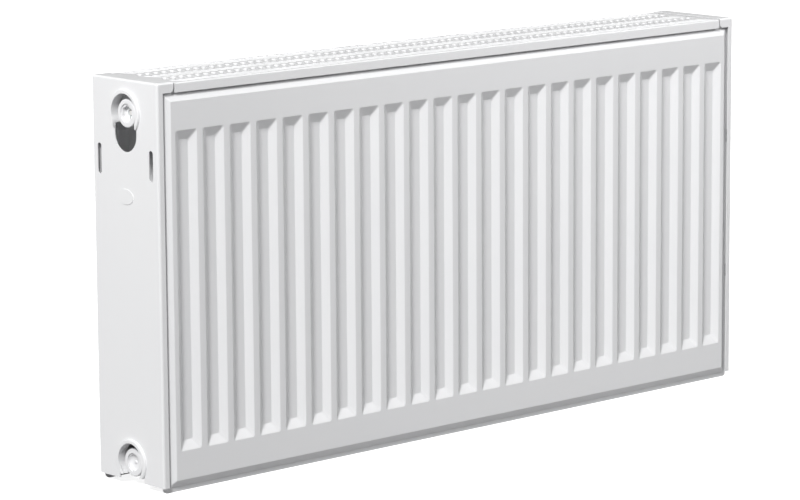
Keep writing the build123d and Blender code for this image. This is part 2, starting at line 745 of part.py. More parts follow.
save(valve_spring, "valve_spring")
save(preset_ring, "preset_ring")
save(valve_cap, "valve_cap")
save(top_grille, "top_grille")
save(grille_clips, "grille_clips")
save(left_cover, "left_end_cover")
save(right_cover, "right_end_cover")
save(left_clips, "left_cover_clips")
save(right_clips, "right_cover_clips")
for side, end in ((-1, "left"), (1, "right")):
    for z, level in zip(LUG_Z, ("bottom", "top")):
        save(hanging_lug(side, z), level + "_" + end + "_lug")
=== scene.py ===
"""Looks of a double-panel wall radiator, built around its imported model.

The pressed sheets, the corrugated convectors, the zigzag grille, the covers, the plugs
and the valve are made here as finished pieces that stand for the plain ones, each with
its own procedural finish.  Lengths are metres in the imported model's frame: +X runs along
the radiator, the front faces -Y and +Z is up.
"""

import json
import logging
import math
from dataclasses import dataclass
from enum import Enum
from typing import Sequence

import bmesh
import bpy
from mathutils import Matrix, Vector

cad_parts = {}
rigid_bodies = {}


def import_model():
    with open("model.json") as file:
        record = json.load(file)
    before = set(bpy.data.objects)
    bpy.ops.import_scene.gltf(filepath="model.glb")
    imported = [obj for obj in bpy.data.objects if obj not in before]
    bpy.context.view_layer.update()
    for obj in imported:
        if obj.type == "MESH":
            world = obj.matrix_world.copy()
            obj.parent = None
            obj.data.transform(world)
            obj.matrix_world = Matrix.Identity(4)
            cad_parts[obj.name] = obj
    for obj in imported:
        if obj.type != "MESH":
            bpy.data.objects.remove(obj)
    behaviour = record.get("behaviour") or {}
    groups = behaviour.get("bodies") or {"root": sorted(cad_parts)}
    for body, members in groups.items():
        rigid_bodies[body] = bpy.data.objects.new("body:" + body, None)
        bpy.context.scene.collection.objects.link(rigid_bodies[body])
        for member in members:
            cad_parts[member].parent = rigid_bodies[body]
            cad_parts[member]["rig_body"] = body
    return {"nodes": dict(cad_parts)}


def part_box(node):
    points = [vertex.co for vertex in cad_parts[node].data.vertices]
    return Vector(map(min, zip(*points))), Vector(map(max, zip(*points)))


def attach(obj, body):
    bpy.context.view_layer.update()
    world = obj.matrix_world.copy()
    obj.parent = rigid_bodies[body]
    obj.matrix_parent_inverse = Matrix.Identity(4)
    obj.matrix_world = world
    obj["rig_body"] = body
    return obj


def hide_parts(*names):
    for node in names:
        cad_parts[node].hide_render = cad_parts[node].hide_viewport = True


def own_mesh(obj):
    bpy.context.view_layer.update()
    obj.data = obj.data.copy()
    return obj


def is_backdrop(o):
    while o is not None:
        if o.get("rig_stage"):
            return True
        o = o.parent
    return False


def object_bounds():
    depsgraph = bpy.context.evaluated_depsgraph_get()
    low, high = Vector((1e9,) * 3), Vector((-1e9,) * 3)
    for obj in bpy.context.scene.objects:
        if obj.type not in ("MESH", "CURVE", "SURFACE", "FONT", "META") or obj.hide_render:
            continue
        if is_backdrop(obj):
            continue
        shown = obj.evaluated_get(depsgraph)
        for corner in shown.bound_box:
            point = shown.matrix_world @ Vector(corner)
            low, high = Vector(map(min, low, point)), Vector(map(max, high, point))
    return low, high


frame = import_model()

log = logging.getLogger("radiator")
MM = 0.001
NEAR = 0.02 * MM  # vertices closer than this are one
Point = tuple[float, float]
Triple = tuple[float, float, float]


# ---- small helpers ------------------------------------------------------------------------
def body_of_node(node: str) -> str:
    """Name of the CAD body that a CAD node belongs to."""
    return frame["nodes"][node]["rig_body"]


def centre_of(node: str) -> Vector:
    """Middle of a CAD node's box."""
    low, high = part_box(node)
    return (low + high) / 2


def new_object(name: str, mesh: bpy.types.Mesh) -> bpy.types.Object:
    """Link a new object that shows the mesh."""
    made = bpy.data.objects.new(name, mesh)
    bpy.context.scene.collection.objects.link(made)
    return made


def object_from(name: str, shape: bmesh.types.BMesh) -> bpy.types.Object:
    """Turn a bmesh into a new object and free it.

    Args:
        name: Name of the object and of its mesh.
        shape: The finished bmesh.

    Returns:
        The new object.
    """
    mesh = bpy.data.meshes.new(name)
    shape.to_mesh(mesh)
    shape.free()
    return new_object(name, mesh)


def settle(piece: bpy.types.Object) -> bpy.types.Object:
    """Replace a piece's mesh by its evaluated one and drop its modifiers."""
    graph = bpy.context.evaluated_depsgraph_get()
    graph.update()
    mesh = bpy.data.meshes.new_from_object(piece.evaluated_get(graph), depsgraph=graph)
    piece.modifiers.clear()
    piece.data = mesh
    return piece


def join(name: str, parts: Sequence[bpy.types.Object]) -> bpy.types.Object:
    """Merge several finished objects at the origin into one.

    Args:
        name: Name of the joined object.
        parts: Objects to merge; they are removed.

    Returns:
        One object with all the faces and all the materials.
    """
    shape = bmesh.new()
    materials = []
    for part in parts:
        offset = len(materials)
        materials += list(part.data.materials)
        before = len(shape.faces)
        shape.from_mesh(part.data)
        shape.faces.ensure_lookup_table()
        for face in shape.faces[before:]:
            face.material_index += offset
        bpy.data.objects.remove(part)
    whole = object_from(name, shape)
    for material in materials:
        whole.data.materials.append(material)
    return whole


def outward(shape: bmesh.types.BMesh) -> None:
    """Merge doubles and point the faces of a closed shape outwards."""
    bmesh.ops.remove_doubles(shape, verts=shape.verts[:], dist=NEAR)
    bmesh.ops.recalc_face_normals(shape, faces=shape.faces[:])


def facing(shape: bmesh.types.BMesh, direction: Vector) -> None:
    """Turn an open sheet so that its faces look along a direction on the whole."""
    outward(shape)
    total = sum((face.normal * face.calc_area() for face in shape.faces), Vector())
    if total.dot(direction) < 0:
        bmesh.ops.reverse_faces(shape, faces=shape.faces[:])


def refaced(piece: bpy.types.Object, direction: Vector | None = None) -> bpy.types.Object:
    """Merge a piece's doubles and turn its faces along a direction, or else outwards."""
    shape = bmesh.new()
    shape.from_mesh(piece.data)
    if direction is None:
        outward(shape)
    else:
        facing(shape, direction)
    shape.to_mesh(piece.data)
    shape.free()
    return piece


def smooth(piece: bpy.types.Object, sharp_deg: float = 50.0) -> bpy.types.Object:
    """Shade a piece smoothly, so that its large flat faces stay flat.

    Args:
        piece: A piece with no live modifiers.
        sharp_deg: Edges that turn more than this stay sharp.

    Returns:
        The same piece.
    """
    piece.data.shade_smooth()
    piece.data.set_sharp_from_angle(angle=math.radians(sharp_deg))
    weighted = piece.modifiers.new("flat faces", "WEIGHTED_NORMAL")
    weighted.mode = "FACE_AREA"
    weighted.weight = 50
    weighted.keep_sharp = True
    return settle(piece)


def thicken(piece: bpy.types.Object, thickness: float, offset: float = -1) -> bpy.types.Object:
    """Give an open sheet its thickness, behind its faces or, at offset 0, about them."""
    solid = piece.modifiers.new("sheet", "SOLIDIFY")
    solid.thickness = thickness
    solid.offset = offset
    solid.use_even_offset = True
    return settle(piece)


def loop_of(shape: bmesh.types.BMesh, points: Sequence[Vector]) -> list[bmesh.types.BMVert]:
    """Add one vertex for each point."""
    return [shape.verts.new(point) for point in points]


def bridge(shape: bmesh.types.BMesh, first: Sequence[bmesh.types.BMVert],
           second: Sequence[bmesh.types.BMVert], closed: bool = True) -> None:
    """Join two rows of vertices of the same length with quads."""
    count = len(first)
    for index in range(count if closed else count - 1):
        after = (index + 1) % count
        shape.faces.new((first[index], first[after], second[after], second[index]))


def loft(shape: bmesh.types.BMesh, loops: Sequence[Sequence[Vector]],
         closed: bool = True) -> list[list[bmesh.types.BMVert]]:
    """Skin a series of loops that have the same number of points.

    Args:
        shape: The bmesh to add to.
        loops: Points of each loop.
        closed: Whether each loop closes on itself.

    Returns:
        The vertices of each loop.
    """
    rows = [loop_of(shape, points) for points in loops]
    for first, second in zip(rows, rows[1:]):
        bridge(shape, first, second, closed)
    return rows


def fill_between(shape: bmesh.types.BMesh, outer: Sequence[bmesh.types.BMVert],
                 inner: Sequence[bmesh.types.BMVert]) -> None:
    """Fill the flat ring between an outer and an inner loop."""
    edges = []
    for ring in (outer, inner):
        for index, vert in enumerate(ring):
            pair = (vert, ring[(index + 1) % len(ring)])
            edges.append(shape.edges.get(pair) or shape.edges.new(pair))
    bmesh.ops.triangle_fill(shape, edges=edges, use_beauty=True, use_dissolve=False)


def rounded_rectangle(half_w: float, half_h: float, radius: float, steps: int) -> list[Point]:
    """Points of a rectangle with round corners, anticlockwise from the right-hand top.

    Args:
        half_w: Half of the width.
        half_h: Half of the height.
        radius: Corner radius.
        steps: Straight bits in each corner's arc.

    Returns:
        Four times (steps + 1) points.
    """
    points = []
    for quarter, (sign_x, sign_y) in enumerate(((1, 1), (-1, 1), (-1, -1), (1, -1))):
        for step in range(steps + 1):
            angle = (quarter + step / steps) * math.pi / 2
            points.append((sign_x * (half_w - radius) + radius * math.cos(angle),
                           sign_y * (half_h - radius) + radius * math.sin(angle)))
    return points


def bent_profile(corners: Sequence[Point], radius: float, steps: int = 3) -> list[Point]:
    """Round off the inner corners of an open zigzag of points.

    Args:
        corners: The corners of the path, its two ends included.
        radius: Bend radius.
        steps: Straight bits in each bend.

    Returns:
        The points of the rounded path.
    """
    path = [corners[0]]
    for before, here, after in zip(corners, corners[1:], corners[2:]):
        start = (Vector(before) - Vector(here)).normalized()
        finish = (Vector(after) - Vector(here)).normalized()
        half = start.angle(finish) / 2
        reach = radius / math.tan(half)
        middle = Vector(here) + (start + finish).normalized() * (radius / math.sin(half))
        from_start = (Vector(here) + start * reach - middle).normalized()
        from_finish = (Vector(here) + finish * reach - middle).normalized()
        for step in range(steps + 1):
            spoke = from_start.slerp(from_finish, step / steps)
            path.append(tuple(middle + spoke * radius))
    path.append(corners[-1])
    return path


class Axis(Enum):
    """Directions that a turned piece may point in."""

    LEFT = Vector((-1, 0, 0))
    RIGHT = Vector((1, 0, 0))
    UP = Vector((0, 0, 1))

    def turn(self) -> Matrix:
        """Rotation that takes +Z to this direction."""
        return self.value.to_track_quat("Z", "Y").to_matrix().to_4x4()


def turned(name: str, profile: Sequence[Point], place: Matrix, segments: int = 48,
           ring: bool = False) -> bpy.types.Object:
    """Make a lathe-turned closed solid.

    Args:
        name: Name of the new object.
        profile: (radius, height) pairs; the solid closes on its axis where radius is 0.
        place: Matrix that takes the lathe's +Z axis to its place.
        segments: Straight bits around.
        ring: Whether the profile closes on itself, as for a ring.

    Returns:
        The new object.
    """
    shape = bmesh.new()
    rows = []
    for radius, height in profile:
        if radius < NEAR:
            rows.append([shape.verts.new(place @ Vector((0, 0, height)))])
            continue
        around = (2 * math.pi * k / segments for k in range(segments))
        circle = [Vector((radius * math.cos(a), radius * math.sin(a), height)) for a in around]
        rows.append([shape.verts.new(place @ point) for point in circle])
    pairs = list(zip(rows, rows[1:])) + ([(rows[-1], rows[0])] if ring else [])
    for first, second in pairs:
        if len(first) == 1 and len(second) == 1:
            continue
        for index in range(segments):
            after = (index + 1) % segments
            if len(first) == 1:
                shape.faces.new((first[0], second[after], second[index]))
            elif len(second) == 1:
                shape.faces.new((first[index], first[after], second[0]))
            else:
                shape.faces.new((first[index], first[after], second[after], second[index]))
    outward(shape)
    return object_from(name, shape)


# ---- geometry-node trees -------------------------------------------------------------------
def feed(tree: bpy.types.NodeTree, socket: bpy.types.NodeSocket, value: object) -> None:
    """Link another socket to a node's input, or set the input to a plain value."""
    if isinstance(value, bpy.types.NodeSocket):
        tree.links.new(value, socket)
    else:
        socket.default_value = value


def add_node(tree: bpy.types.NodeTree, kind: str, feeds: dict[object, object],
             settings: dict[str, object]) -> bpy.types.Node:
    """Add a node to a tree.

    Args:
        tree: The tree to add to.
        kind: Full type name of the node.
        feeds: Socket, or plain value, for each named or numbered input.
        settings: Properties of the node.

    Returns:
        The new node.
    """
    made = tree.nodes.new(kind)
    for key, value in settings.items():
        setattr(made, key, value)
    for key, value in feeds.items():
        feed(tree, made.inputs[key], value)
    return made


class GeometryTree:
    """A geometry-nodes tree in the making, with named inputs for its sizes."""

    def __init__(self, name: str, **sizes: str) -> None:
        """Start a tree with a geometry socket at each end and a material input at the last.

        Args:
            name: Name of the tree.
            **sizes: Socket kind, such as Int, Float or Vector, of each named input.
        """
        self.tree = bpy.data.node_groups.new(name, "GeometryNodeTree")
        self.tree.is_modifier = True
        self.names: dict[str, str] = {}
        for way in ("INPUT", "OUTPUT"):
            self.tree.interface.new_socket("Geometry", in_out=way,
                                           socket_type="NodeSocketGeometry")
        self.start = self.tree.nodes.new("NodeGroupInput")
        self.end = self.tree.nodes.new("NodeGroupOutput")
        for size, kind in {**sizes, "Material": "Material"}.items():
            self.size(size, kind)

    def size(self, name: str, kind: str) -> None:
        """Add a named input of a socket kind such as Int, Float, Vector or Material."""
        socket = self.tree.interface.new_socket(name, in_out="INPUT",
                                                socket_type="NodeSocket" + kind)
        self.names[name] = socket.identifier

    def given(self, name: str) -> bpy.types.NodeSocket:
        """Output socket of the group's input of this name."""
        return self.start.outputs[name]

    def node(self, kind: str, feeds: dict[object, object],
             **settings: object) -> bpy.types.Node:
        """Add a node, whose kind lacks the GeometryNode in front."""
        full = kind if kind.startswith("Shader") else "GeometryNode" + kind
        return add_node(self.tree, full, feeds, settings)

    def repeat(self, points: bpy.types.NodeSocket, **feeds: object) -> "GeometryTree":
        """End the tree with the piece's own mesh on every point, and return it."""
        cells = self.node("InstanceOnPoints", {"Points": points,
                                               "Instance": self.given("Geometry"), **feeds})
        return self.close(cells.outputs[0])

    def close(self, geometry: bpy.types.NodeSocket) -> "GeometryTree":
        """End the tree: make instances real, merge their seams and set the material."""
        real = self.node("RealizeInstances", {"Geometry": geometry})
        whole = self.node("MergeByDistance", {"Geometry": real.outputs[0], "Distance": NEAR})
        dressed = self.node("SetMaterial", {"Geometry": whole.outputs[0],
                                            "Material": self.given("Material")})
        self.tree.links.new(dressed.outputs[0], self.end.inputs[0])
        return self

    def grow(self, piece: bpy.types.Object, **values: object) -> bpy.types.Object:
        """Run the tree on a piece and keep the result as its plain mesh.

        Args:
            piece: The object whose mesh goes in.
            **values: Value of each named input, with _ for a space.

        Returns:
            The same object with the grown mesh.
        """
        modifier = piece.modifiers.new(self.tree.name, "NODES")
        modifier.node_group = self.tree
        for key, value in values.items():
            modifier[self.names[key.replace("_", " ")]] = value
        return settle(piece)


def field_tree() -> GeometryTree:
    """Tree that repeats a cell over a level grid of columns and rows, about its middle."""
    tree = GeometryTree("Field of cells", Columns="Int", Rows="Int", Length="Float",
                        Depth="Float", Middle="Vector")
    grid = tree.node("MeshGrid", {"Size X": tree.given("Length"), "Size Y": tree.given("Depth"),
                                  "Vertices X": tree.given("Columns"),
                                  "Vertices Y": tree.given("Rows")})
    placed = tree.node("SetPosition", {"Geometry": grid.outputs[0],
                                       "Offset": tree.given("Middle")})
    return tree.repeat(placed.outputs[0])


def row_tree() -> GeometryTree:
    """Tree that repeats a cell along a straight line."""
    tree = GeometryTree("Row of cells", Count="Int", Start="Vector", Pitch="Vector")
    line = tree.node("MeshLine", {"Count": tree.given("Count"),
                                  "Start Location": tree.given("Start"),
                                  "Offset": tree.given("Pitch")}, mode="OFFSET")
    return tree.repeat(line.outputs[0])


def wheel_tree() -> GeometryTree:
    """Tree that repeats a cell around the X axis through a hub."""
    tree = GeometryTree("Wheel of cells", Count="Int", Hub="Vector", Step="Float")
    line = tree.node("MeshLine", {"Count": tree.given("Count"),
                                  "Start Location": tree.given("Hub"),
                                  "Offset": (0.0, 0.0, 0.0)}, mode="OFFSET")
    index = tree.node("InputIndex", {})
    angle = tree.node("ShaderNodeMath", {0: index.outputs[0], 1: tree.given("Step")},
                      operation="MULTIPLY")
    turn = tree.node("ShaderNodeCombineXYZ", {"X": angle.outputs[0]})
    return tree.repeat(line.outputs[0], Rotation=turn.outputs[0])


def helix_tree() -> GeometryTree:
    """Tree that sweeps a small round or diamond section along a helix about +Z."""
    tree = GeometryTree("Helix", Turns="Float", Radius="Float", Height="Float",
                        Section="Float", Sides="Int", Turn="Vector", Place="Vector")
    spiral = tree.node("CurveSpiral", {"Resolution": 40, "Rotations": tree.given("Turns"),
                                       "Start Radius": tree.given("Radius"),
                                       "End Radius": tree.given("Radius"),
                                       "Height": tree.given("Height")})
    section = tree.node("CurvePrimitiveCircle", {"Resolution": tree.given("Sides"),
                                                 "Radius": tree.given("Section")})
    tube = tree.node("CurveToMesh", {"Curve": spiral.outputs[0],
                                     "Profile Curve": section.outputs[0], "Fill Caps": True})
    placed = tree.node("Transform", {"Geometry": tube.outputs[0],
                                     "Rotation": tree.given("Turn"),
                                     "Translation": tree.given("Place")})
    return tree.close(placed.outputs[0])


def pipe_tree() -> GeometryTree:
    """Tree that runs a round tube along a path of straight edges, with round bends."""
    tree = GeometryTree("Bent pipe", Bend="Float", Radius="Float")
    path = tree.node("MeshToCurve", {"Mesh": tree.given("Geometry")})
    bent = tree.node("FilletCurve", {"Curve": path.outputs[0], "Radius": tree.given("Bend"),
                                     "Count": 12}, mode="POLY")
    section = tree.node("CurvePrimitiveCircle", {"Resolution": 32,
                                                 "Radius": tree.given("Radius")})
    tube = tree.node("CurveToMesh", {"Curve": bent.outputs[0],
                                     "Profile Curve": section.outputs[0], "Fill Caps": True})
    return tree.close(tube.outputs[0])


# ---- shader effects shared by the finishes -------------------------------------------------
class Graph:
    """A shader graph in the making, inside a material or a node group."""

    def __init__(self, tree: bpy.types.NodeTree) -> None:
        """Wrap a node tree."""
        self.tree = tree

    def node(self, kind: str, feeds: dict[object, object] | None = None,
             **settings: object) -> bpy.types.Node:
        """Add a node, whose kind lacks the ShaderNode in front."""
        return add_node(self.tree, "ShaderNode" + kind, feeds or {}, settings)

    def maths(self, operation: str, *terms: object) -> bpy.types.NodeSocket:
        """Result of a maths node on sockets or plain numbers."""
        return self.node("Math", dict(enumerate(terms)), operation=operation).outputs[0]

    def group(self, effect: "Effect", **feeds: object) -> bpy.types.Node:
        """Place a shared effect, with _ for a space in the names of its inputs."""
        made = self.tree.nodes.new("ShaderNodeGroup")
        made.node_tree = effect.tree
        for key, value in feeds.items():
            feed(self.tree, made.inputs[key.replace("_", " ")], value)
        return made


class Effect(Graph):
    """A shader node group with named inputs and outputs, built once for every finish."""

    def __init__(self, name: str, inputs: dict[str, str], outputs: dict[str, str]) -> None:
        """Make the group and its sockets.

        Args:
            name: Name of the group.
            inputs: Kind of each named input, such as Float, Vector or Color.
            outputs: Kind of each named output.
        """
        super().__init__(bpy.data.node_groups.new(name, "ShaderNodeTree"))
        for way, sockets in (("INPUT", inputs), ("OUTPUT", outputs)):
            for socket, kind in sockets.items():
                self.tree.interface.new_socket(socket, in_out=way,
                                               socket_type="NodeSocket" + kind)
        self.start = self.tree.nodes.new("NodeGroupInput")
        self.end = self.tree.nodes.new("NodeGroupOutput")

    def given(self, name: str) -> bpy.types.NodeSocket:
        """Output socket of the group's input of this name."""
        return self.start.outputs[name]

    def give(self, name: str, value: bpy.types.NodeSocket) -> None:
        """Feed one of the group's outputs."""
        self.tree.links.new(value, self.end.inputs[name])


def orange_peel() -> Effect:
    """Fine waviness of stoved paint: a soft ripple with a finer grain on it."""
    effect = Effect("Orange peel", {"Vector": "Vector", "Scale": "Float", "Grain": "Float"},
                    {"Height": "Float"})
    ripple = effect.node("TexNoise", {"Vector": effect.given("Vector"),
                                      "Scale": effect.given("Scale"), "Detail": 1.0})
    finer = effect.maths("MULTIPLY", effect.given("Scale"), 5.0)
    grain = effect.node("TexNoise", {"Vector": effect.given("Vector"), "Scale": finer,
                                     "Detail": 2.0})
    share = effect.maths("MULTIPLY", grain.outputs["Fac"], effect.given("Grain"))
    effect.give("Height", effect.maths("ADD", ripple.outputs["Fac"], share))
    return effect


def tone_drift() -> Effect:
    """Slow drift between two tones over a surface, with its mask."""
    effect = Effect("Tone drift", {"Vector": "Vector", "Scale": "Float", "Light": "Color",
                                   "Dark": "Color"}, {"Color": "Color", "Mask": "Float"})
    cloud = effect.node("TexNoise", {"Vector": effect.given("Vector"),
                                     "Scale": effect.given("Scale"), "Detail": 3.0})
    mask = effect.node("MapRange", {"Value": cloud.outputs["Fac"], "From Min": 0.3,
                                    "From Max": 0.7})
    mixed = effect.node("Mix", {"Factor": mask.outputs[0], "A": effect.given("Dark"),
                                "B": effect.given("Light")}, data_type="RGBA")
    effect.give("Color", mixed.outputs["Result"])
    effect.give("Mask", mask.outputs[0])
    return effect


def turning_marks() -> Effect:
    """Concentric tool marks of a lathe about the X axis of the given vector."""
    effect = Effect("Turning marks", {"Vector": "Vector", "Pitch": "Float"},
                    {"Height": "Float", "Mask": "Float"})
    parts = effect.node("SeparateXYZ", {"Vector": effect.given("Vector")})
    across = effect.node("CombineXYZ", {"Y": parts.outputs["Y"], "Z": parts.outputs["Z"]})
    radius = effect.node("VectorMath", {0: across.outputs[0]}, operation="LENGTH")
    turns = effect.maths("DIVIDE", radius.outputs["Value"], effect.given("Pitch"))
    wobble = effect.node("TexNoise", {"Vector": effect.given("Vector"), "Scale": 400.0})
    phase = effect.maths("ADD", effect.maths("MULTIPLY", turns, 2 * math.pi),
                         effect.maths("MULTIPLY", wobble.outputs["Fac"], 3.0))
    wave = effect.maths("SINE", phase)
    effect.give("Height", wave)
    effect.give("Mask", effect.maths("MULTIPLY_ADD", wave, 0.5, 0.5))
    return effect


def crystals() -> Effect:
    """Small flat crystals of a zinc coat, each with its own shade."""
    effect = Effect("Crystals", {"Vector": "Vector", "Scale": "Float"},
                    {"Mask": "Float", "Height": "Float"})
    cells = effect.node("TexVoronoi", {"Vector": effect.given("Vector"),
                                       "Scale": effect.given("Scale")})
    shade = effect.node("SeparateColor", {"Color": cells.outputs["Color"]})
    effect.give("Mask", shade.outputs[0])
    effect.give("Height", cells.outputs["Distance"])
    return effect


def settled_dust() -> Effect:
    """Mask of the faint dust that lies on faces that look up, in loose patches."""
    effect = Effect("Settled dust", {"Vector": "Vector", "Normal": "Vector", "Scale": "Float"},
                    {"Mask": "Float"})
    parts = effect.node("SeparateXYZ", {"Vector": effect.given("Normal")})
    level = effect.node("MapRange", {"Value": parts.outputs["Z"], "From Min": 0.6,
                                     "From Max": 1.0})
    cloud = effect.node("TexNoise", {"Vector": effect.given("Vector"),
                                     "Scale": effect.given("Scale"), "Detail": 4.0})
    patch = effect.node("MapRange", {"Value": cloud.outputs["Fac"], "From Min": 0.42,
                                     "From Max": 0.7})
    effect.give("Mask", effect.maths("MULTIPLY", level.outputs[0], patch.outputs[0]))
    return effect


@dataclass(frozen=True)
class Effects:
    """The shared shader node groups."""

    peel: Effect
    drift: Effect
    marks: Effect
    crystals: Effect
    dust: Effect


EFFECTS = Effects(orange_peel(), tone_drift(), turning_marks(), crystals(), settled_dust())


# ---- finishes ------------------------------------------------------------------------------
Tone = Triple


class Surface(Graph):
    """A material in the making: a Principled shader with object coordinates at hand."""

    def __init__(self, name: str, roughness: float, metallic: float = 0.0) -> None:
        """Start the material.

        Args:
            name: Name of the material.
            roughness: Roughness where nothing else sets it.
            metallic: Metallic value, 0 or 1.
        """
        self.material = bpy.data.materials.new(name)
        self.material.use_nodes = True
        super().__init__(self.material.node_tree)
        self.shader = self.tree.nodes["Principled BSDF"]
        self.shader.inputs["Roughness"].default_value = roughness
        self.shader.inputs["Metallic"].default_value = metallic
        self.place = self.node("TexCoord").outputs["Object"]

    def plain(self, socket: str, value: float) -> None:
        """Set one of the shader's own sockets."""
        self.shader.inputs[socket].default_value = value

    def colour(self, value: bpy.types.NodeSocket) -> None:
        """Feed the shader's base colour."""
        self.tree.links.new(value, self.shader.inputs["Base Color"])

    def glow(self, value: bpy.types.NodeSocket) -> None:
        """Feed the shader's emission colour."""
        self.tree.links.new(value, self.shader.inputs["Emission Color"])

    def roughness_from(self, mask: bpy.types.NodeSocket, low: float, high: float) -> None:
        """Let a mask from 0 to 1 run the roughness from low to high."""
        spread = self.node("MapRange", {"Value": mask, "To Min": low, "To Max": high})
        self.tree.links.new(spread.outputs[0], self.shader.inputs["Roughness"])

    def relief(self, height: bpy.types.NodeSocket, depth: float, strength: float = 1.0) -> None:
        """Add a bump of a real depth to the shader's normal."""
        bump = self.node("Bump", {"Height": height, "Distance": depth, "Strength": strength})
        self.tree.links.new(bump.outputs["Normal"], self.shader.inputs["Normal"])

    def drift(self, scale: float, light: Tone, dark: Tone) -> bpy.types.Node:
        """Feed the base colour from a slow drift between two tones, and return its node."""
        drift = self.group(EFFECTS.drift, Vector=self.place, Scale=scale, Light=(*light, 1.0),
                           Dark=(*dark, 1.0))
        self.colour(drift.outputs["Color"])
        return drift


@dataclass(frozen=True)
class Enamel:
    """Stoved white paint on sheet steel."""

    name: str
    light: Tone
    dark: Tone
    dust: Tone = (0.78, 0.775, 0.76)
    dust_share: float = 0.12
    roughness: Point = (0.30, 0.40)
    peel_scale: float = 420.0
    peel_depth: float = 0.012 * MM

    def material(self) -> bpy.types.Material:
        """Build the paint, with its ripple, its drift of tone and a trace of dust."""
        made = Surface(self.name, self.roughness[0])
        drift = made.drift(9.0, self.light, self.dark)
        normal = made.node("NewGeometry").outputs["Normal"]
        dust = made.group(EFFECTS.dust, Vector=made.place, Normal=normal, Scale=60.0)
        share = made.maths("MULTIPLY", dust.outputs["Mask"], self.dust_share)
        dusted = made.node("Mix", {"Factor": share, "A": drift.outputs["Color"],
                                   "B": (*self.dust, 1.0)}, data_type="RGBA")
        made.colour(dusted.outputs["Result"])
        made.roughness_from(drift.outputs["Mask"], *self.roughness)
        peel = made.group(EFFECTS.peel, Vector=made.place, Scale=self.peel_scale, Grain=0.25)
        made.relief(peel.outputs["Height"], self.peel_depth)
        made.plain("Coat Weight", 0.15)
        made.plain("Coat Roughness", 0.12)
        return made.material


@dataclass(frozen=True)
class TurnedMetal:
    """Machined or plated metal with the marks of the lathe about one hub."""

    name: str
    light: Tone
    dark: Tone
    hub_node: str
    roughness: Point
    pitch: float = 0.22 * MM
    depth: float = 0.006 * MM

    def material(self) -> bpy.types.Material:
        """Build the metal, with rings about the hub's axis and a drift of tone."""
        made = Surface(self.name, self.roughness[0], metallic=1.0)
        made.drift(120.0, self.light, self.dark)
        hub = centre_of(self.hub_node)
        centred = made.node("Mapping", {"Vector": made.place, "Location": -hub})
        marks = made.group(EFFECTS.marks, Vector=centred.outputs[0], Pitch=self.pitch)
        made.roughness_from(marks.outputs["Mask"], *self.roughness)
        made.relief(marks.outputs["Height"], self.depth)
        return made.material


@dataclass(frozen=True)
class ZincPlate:
    """Bright zinc-plated spring steel."""

    name: str = "Zinc plated spring steel"
    light: Tone = (0.66, 0.67, 0.69)
    dark: Tone = (0.52, 0.53, 0.53)

    def material(self) -> bpy.types.Material:
        """Build the plate from crystals that differ in shade and gloss."""
        made = Surface(self.name, 0.3, metallic=1.0)
        cells = made.group(EFFECTS.crystals, Vector=made.place, Scale=900.0)
        shade = made.node("Mix", {"Factor": cells.outputs["Mask"], "A": (*self.dark, 1.0),
                                  "B": (*self.light, 1.0)}, data_type="RGBA")
        made.colour(shade.outputs["Result"])
        made.roughness_from(cells.outputs["Mask"], 0.24, 0.42)
        made.relief(cells.outputs["Height"], 0.02 * MM, 0.5)
        return made.material


@dataclass(frozen=True)
class Moulded:
    """Moulded plastic with an eroded grain from its tool, or soft black rubber."""

    name: str
    light: Tone
    dark: Tone
    roughness: Point
    grain_scale: float = 2400.0
    grain_depth: float = 0.02 * MM
    subsurface: float = 0.0

    def material(self) -> bpy.types.Material:
        """Build the plastic, with a fine grain and a faint drift of tone."""
        made = Surface(self.name, self.roughness[0])
        drift = made.drift(70.0, self.light, self.dark)
        made.roughness_from(drift.outputs["Mask"], *self.roughness)
        grain = made.group(EFFECTS.peel, Vector=made.place, Scale=self.grain_scale, Grain=0.6)
        made.relief(grain.outputs["Height"], self.grain_depth)
        made.plain("Subsurface Weight", self.subsurface)
        return made.material


class Slot(Enum):
    """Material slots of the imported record, each with its finish."""

    WHITE_ENAMEL = Enamel("Stoved white enamel", (0.845, 0.847, 0.855), (0.825, 0.828, 0.838))
    WHITE_CASING = Enamel("White powder coat", (0.865, 0.867, 0.873), (0.845, 0.848, 0.857),
                          roughness=(0.34, 0.44), peel_scale=520.0)
    SPRING_STEEL = ZincPlate()
    NICKEL = TurnedMetal("Nickel plate", (0.80, 0.79, 0.77), (0.70, 0.69, 0.67),
                         "bleed_screw", (0.18, 0.34))
    BRASS = TurnedMetal("Machined brass", (0.80, 0.62, 0.33), (0.68, 0.50, 0.25),
                        "valve_insert_body", (0.22, 0.40))
    WHITE_PLASTIC = Moulded("White moulded plastic", (0.84, 0.845, 0.84), (0.81, 0.815, 0.81),
                            (0.38, 0.5), subsurface=0.05)
    GREY_PLASTIC = Moulded("Grey moulded plastic", (0.27, 0.28, 0.30), (0.22, 0.23, 0.25),
                           (0.42, 0.55))
    SEAL_RUBBER = Moulded("Black seal rubber", (0.035, 0.035, 0.036), (0.02, 0.02, 0.021),
                          (0.6, 0.8), grain_scale=1500.0, grain_depth=0.03 * MM)

    @property
    def record_name(self) -> str:
        """Name of the slot in the record."""
        return self.name.lower()


MATERIALS: dict[Slot, bpy.types.Material] = {slot: slot.value.material() for slot in Slot}


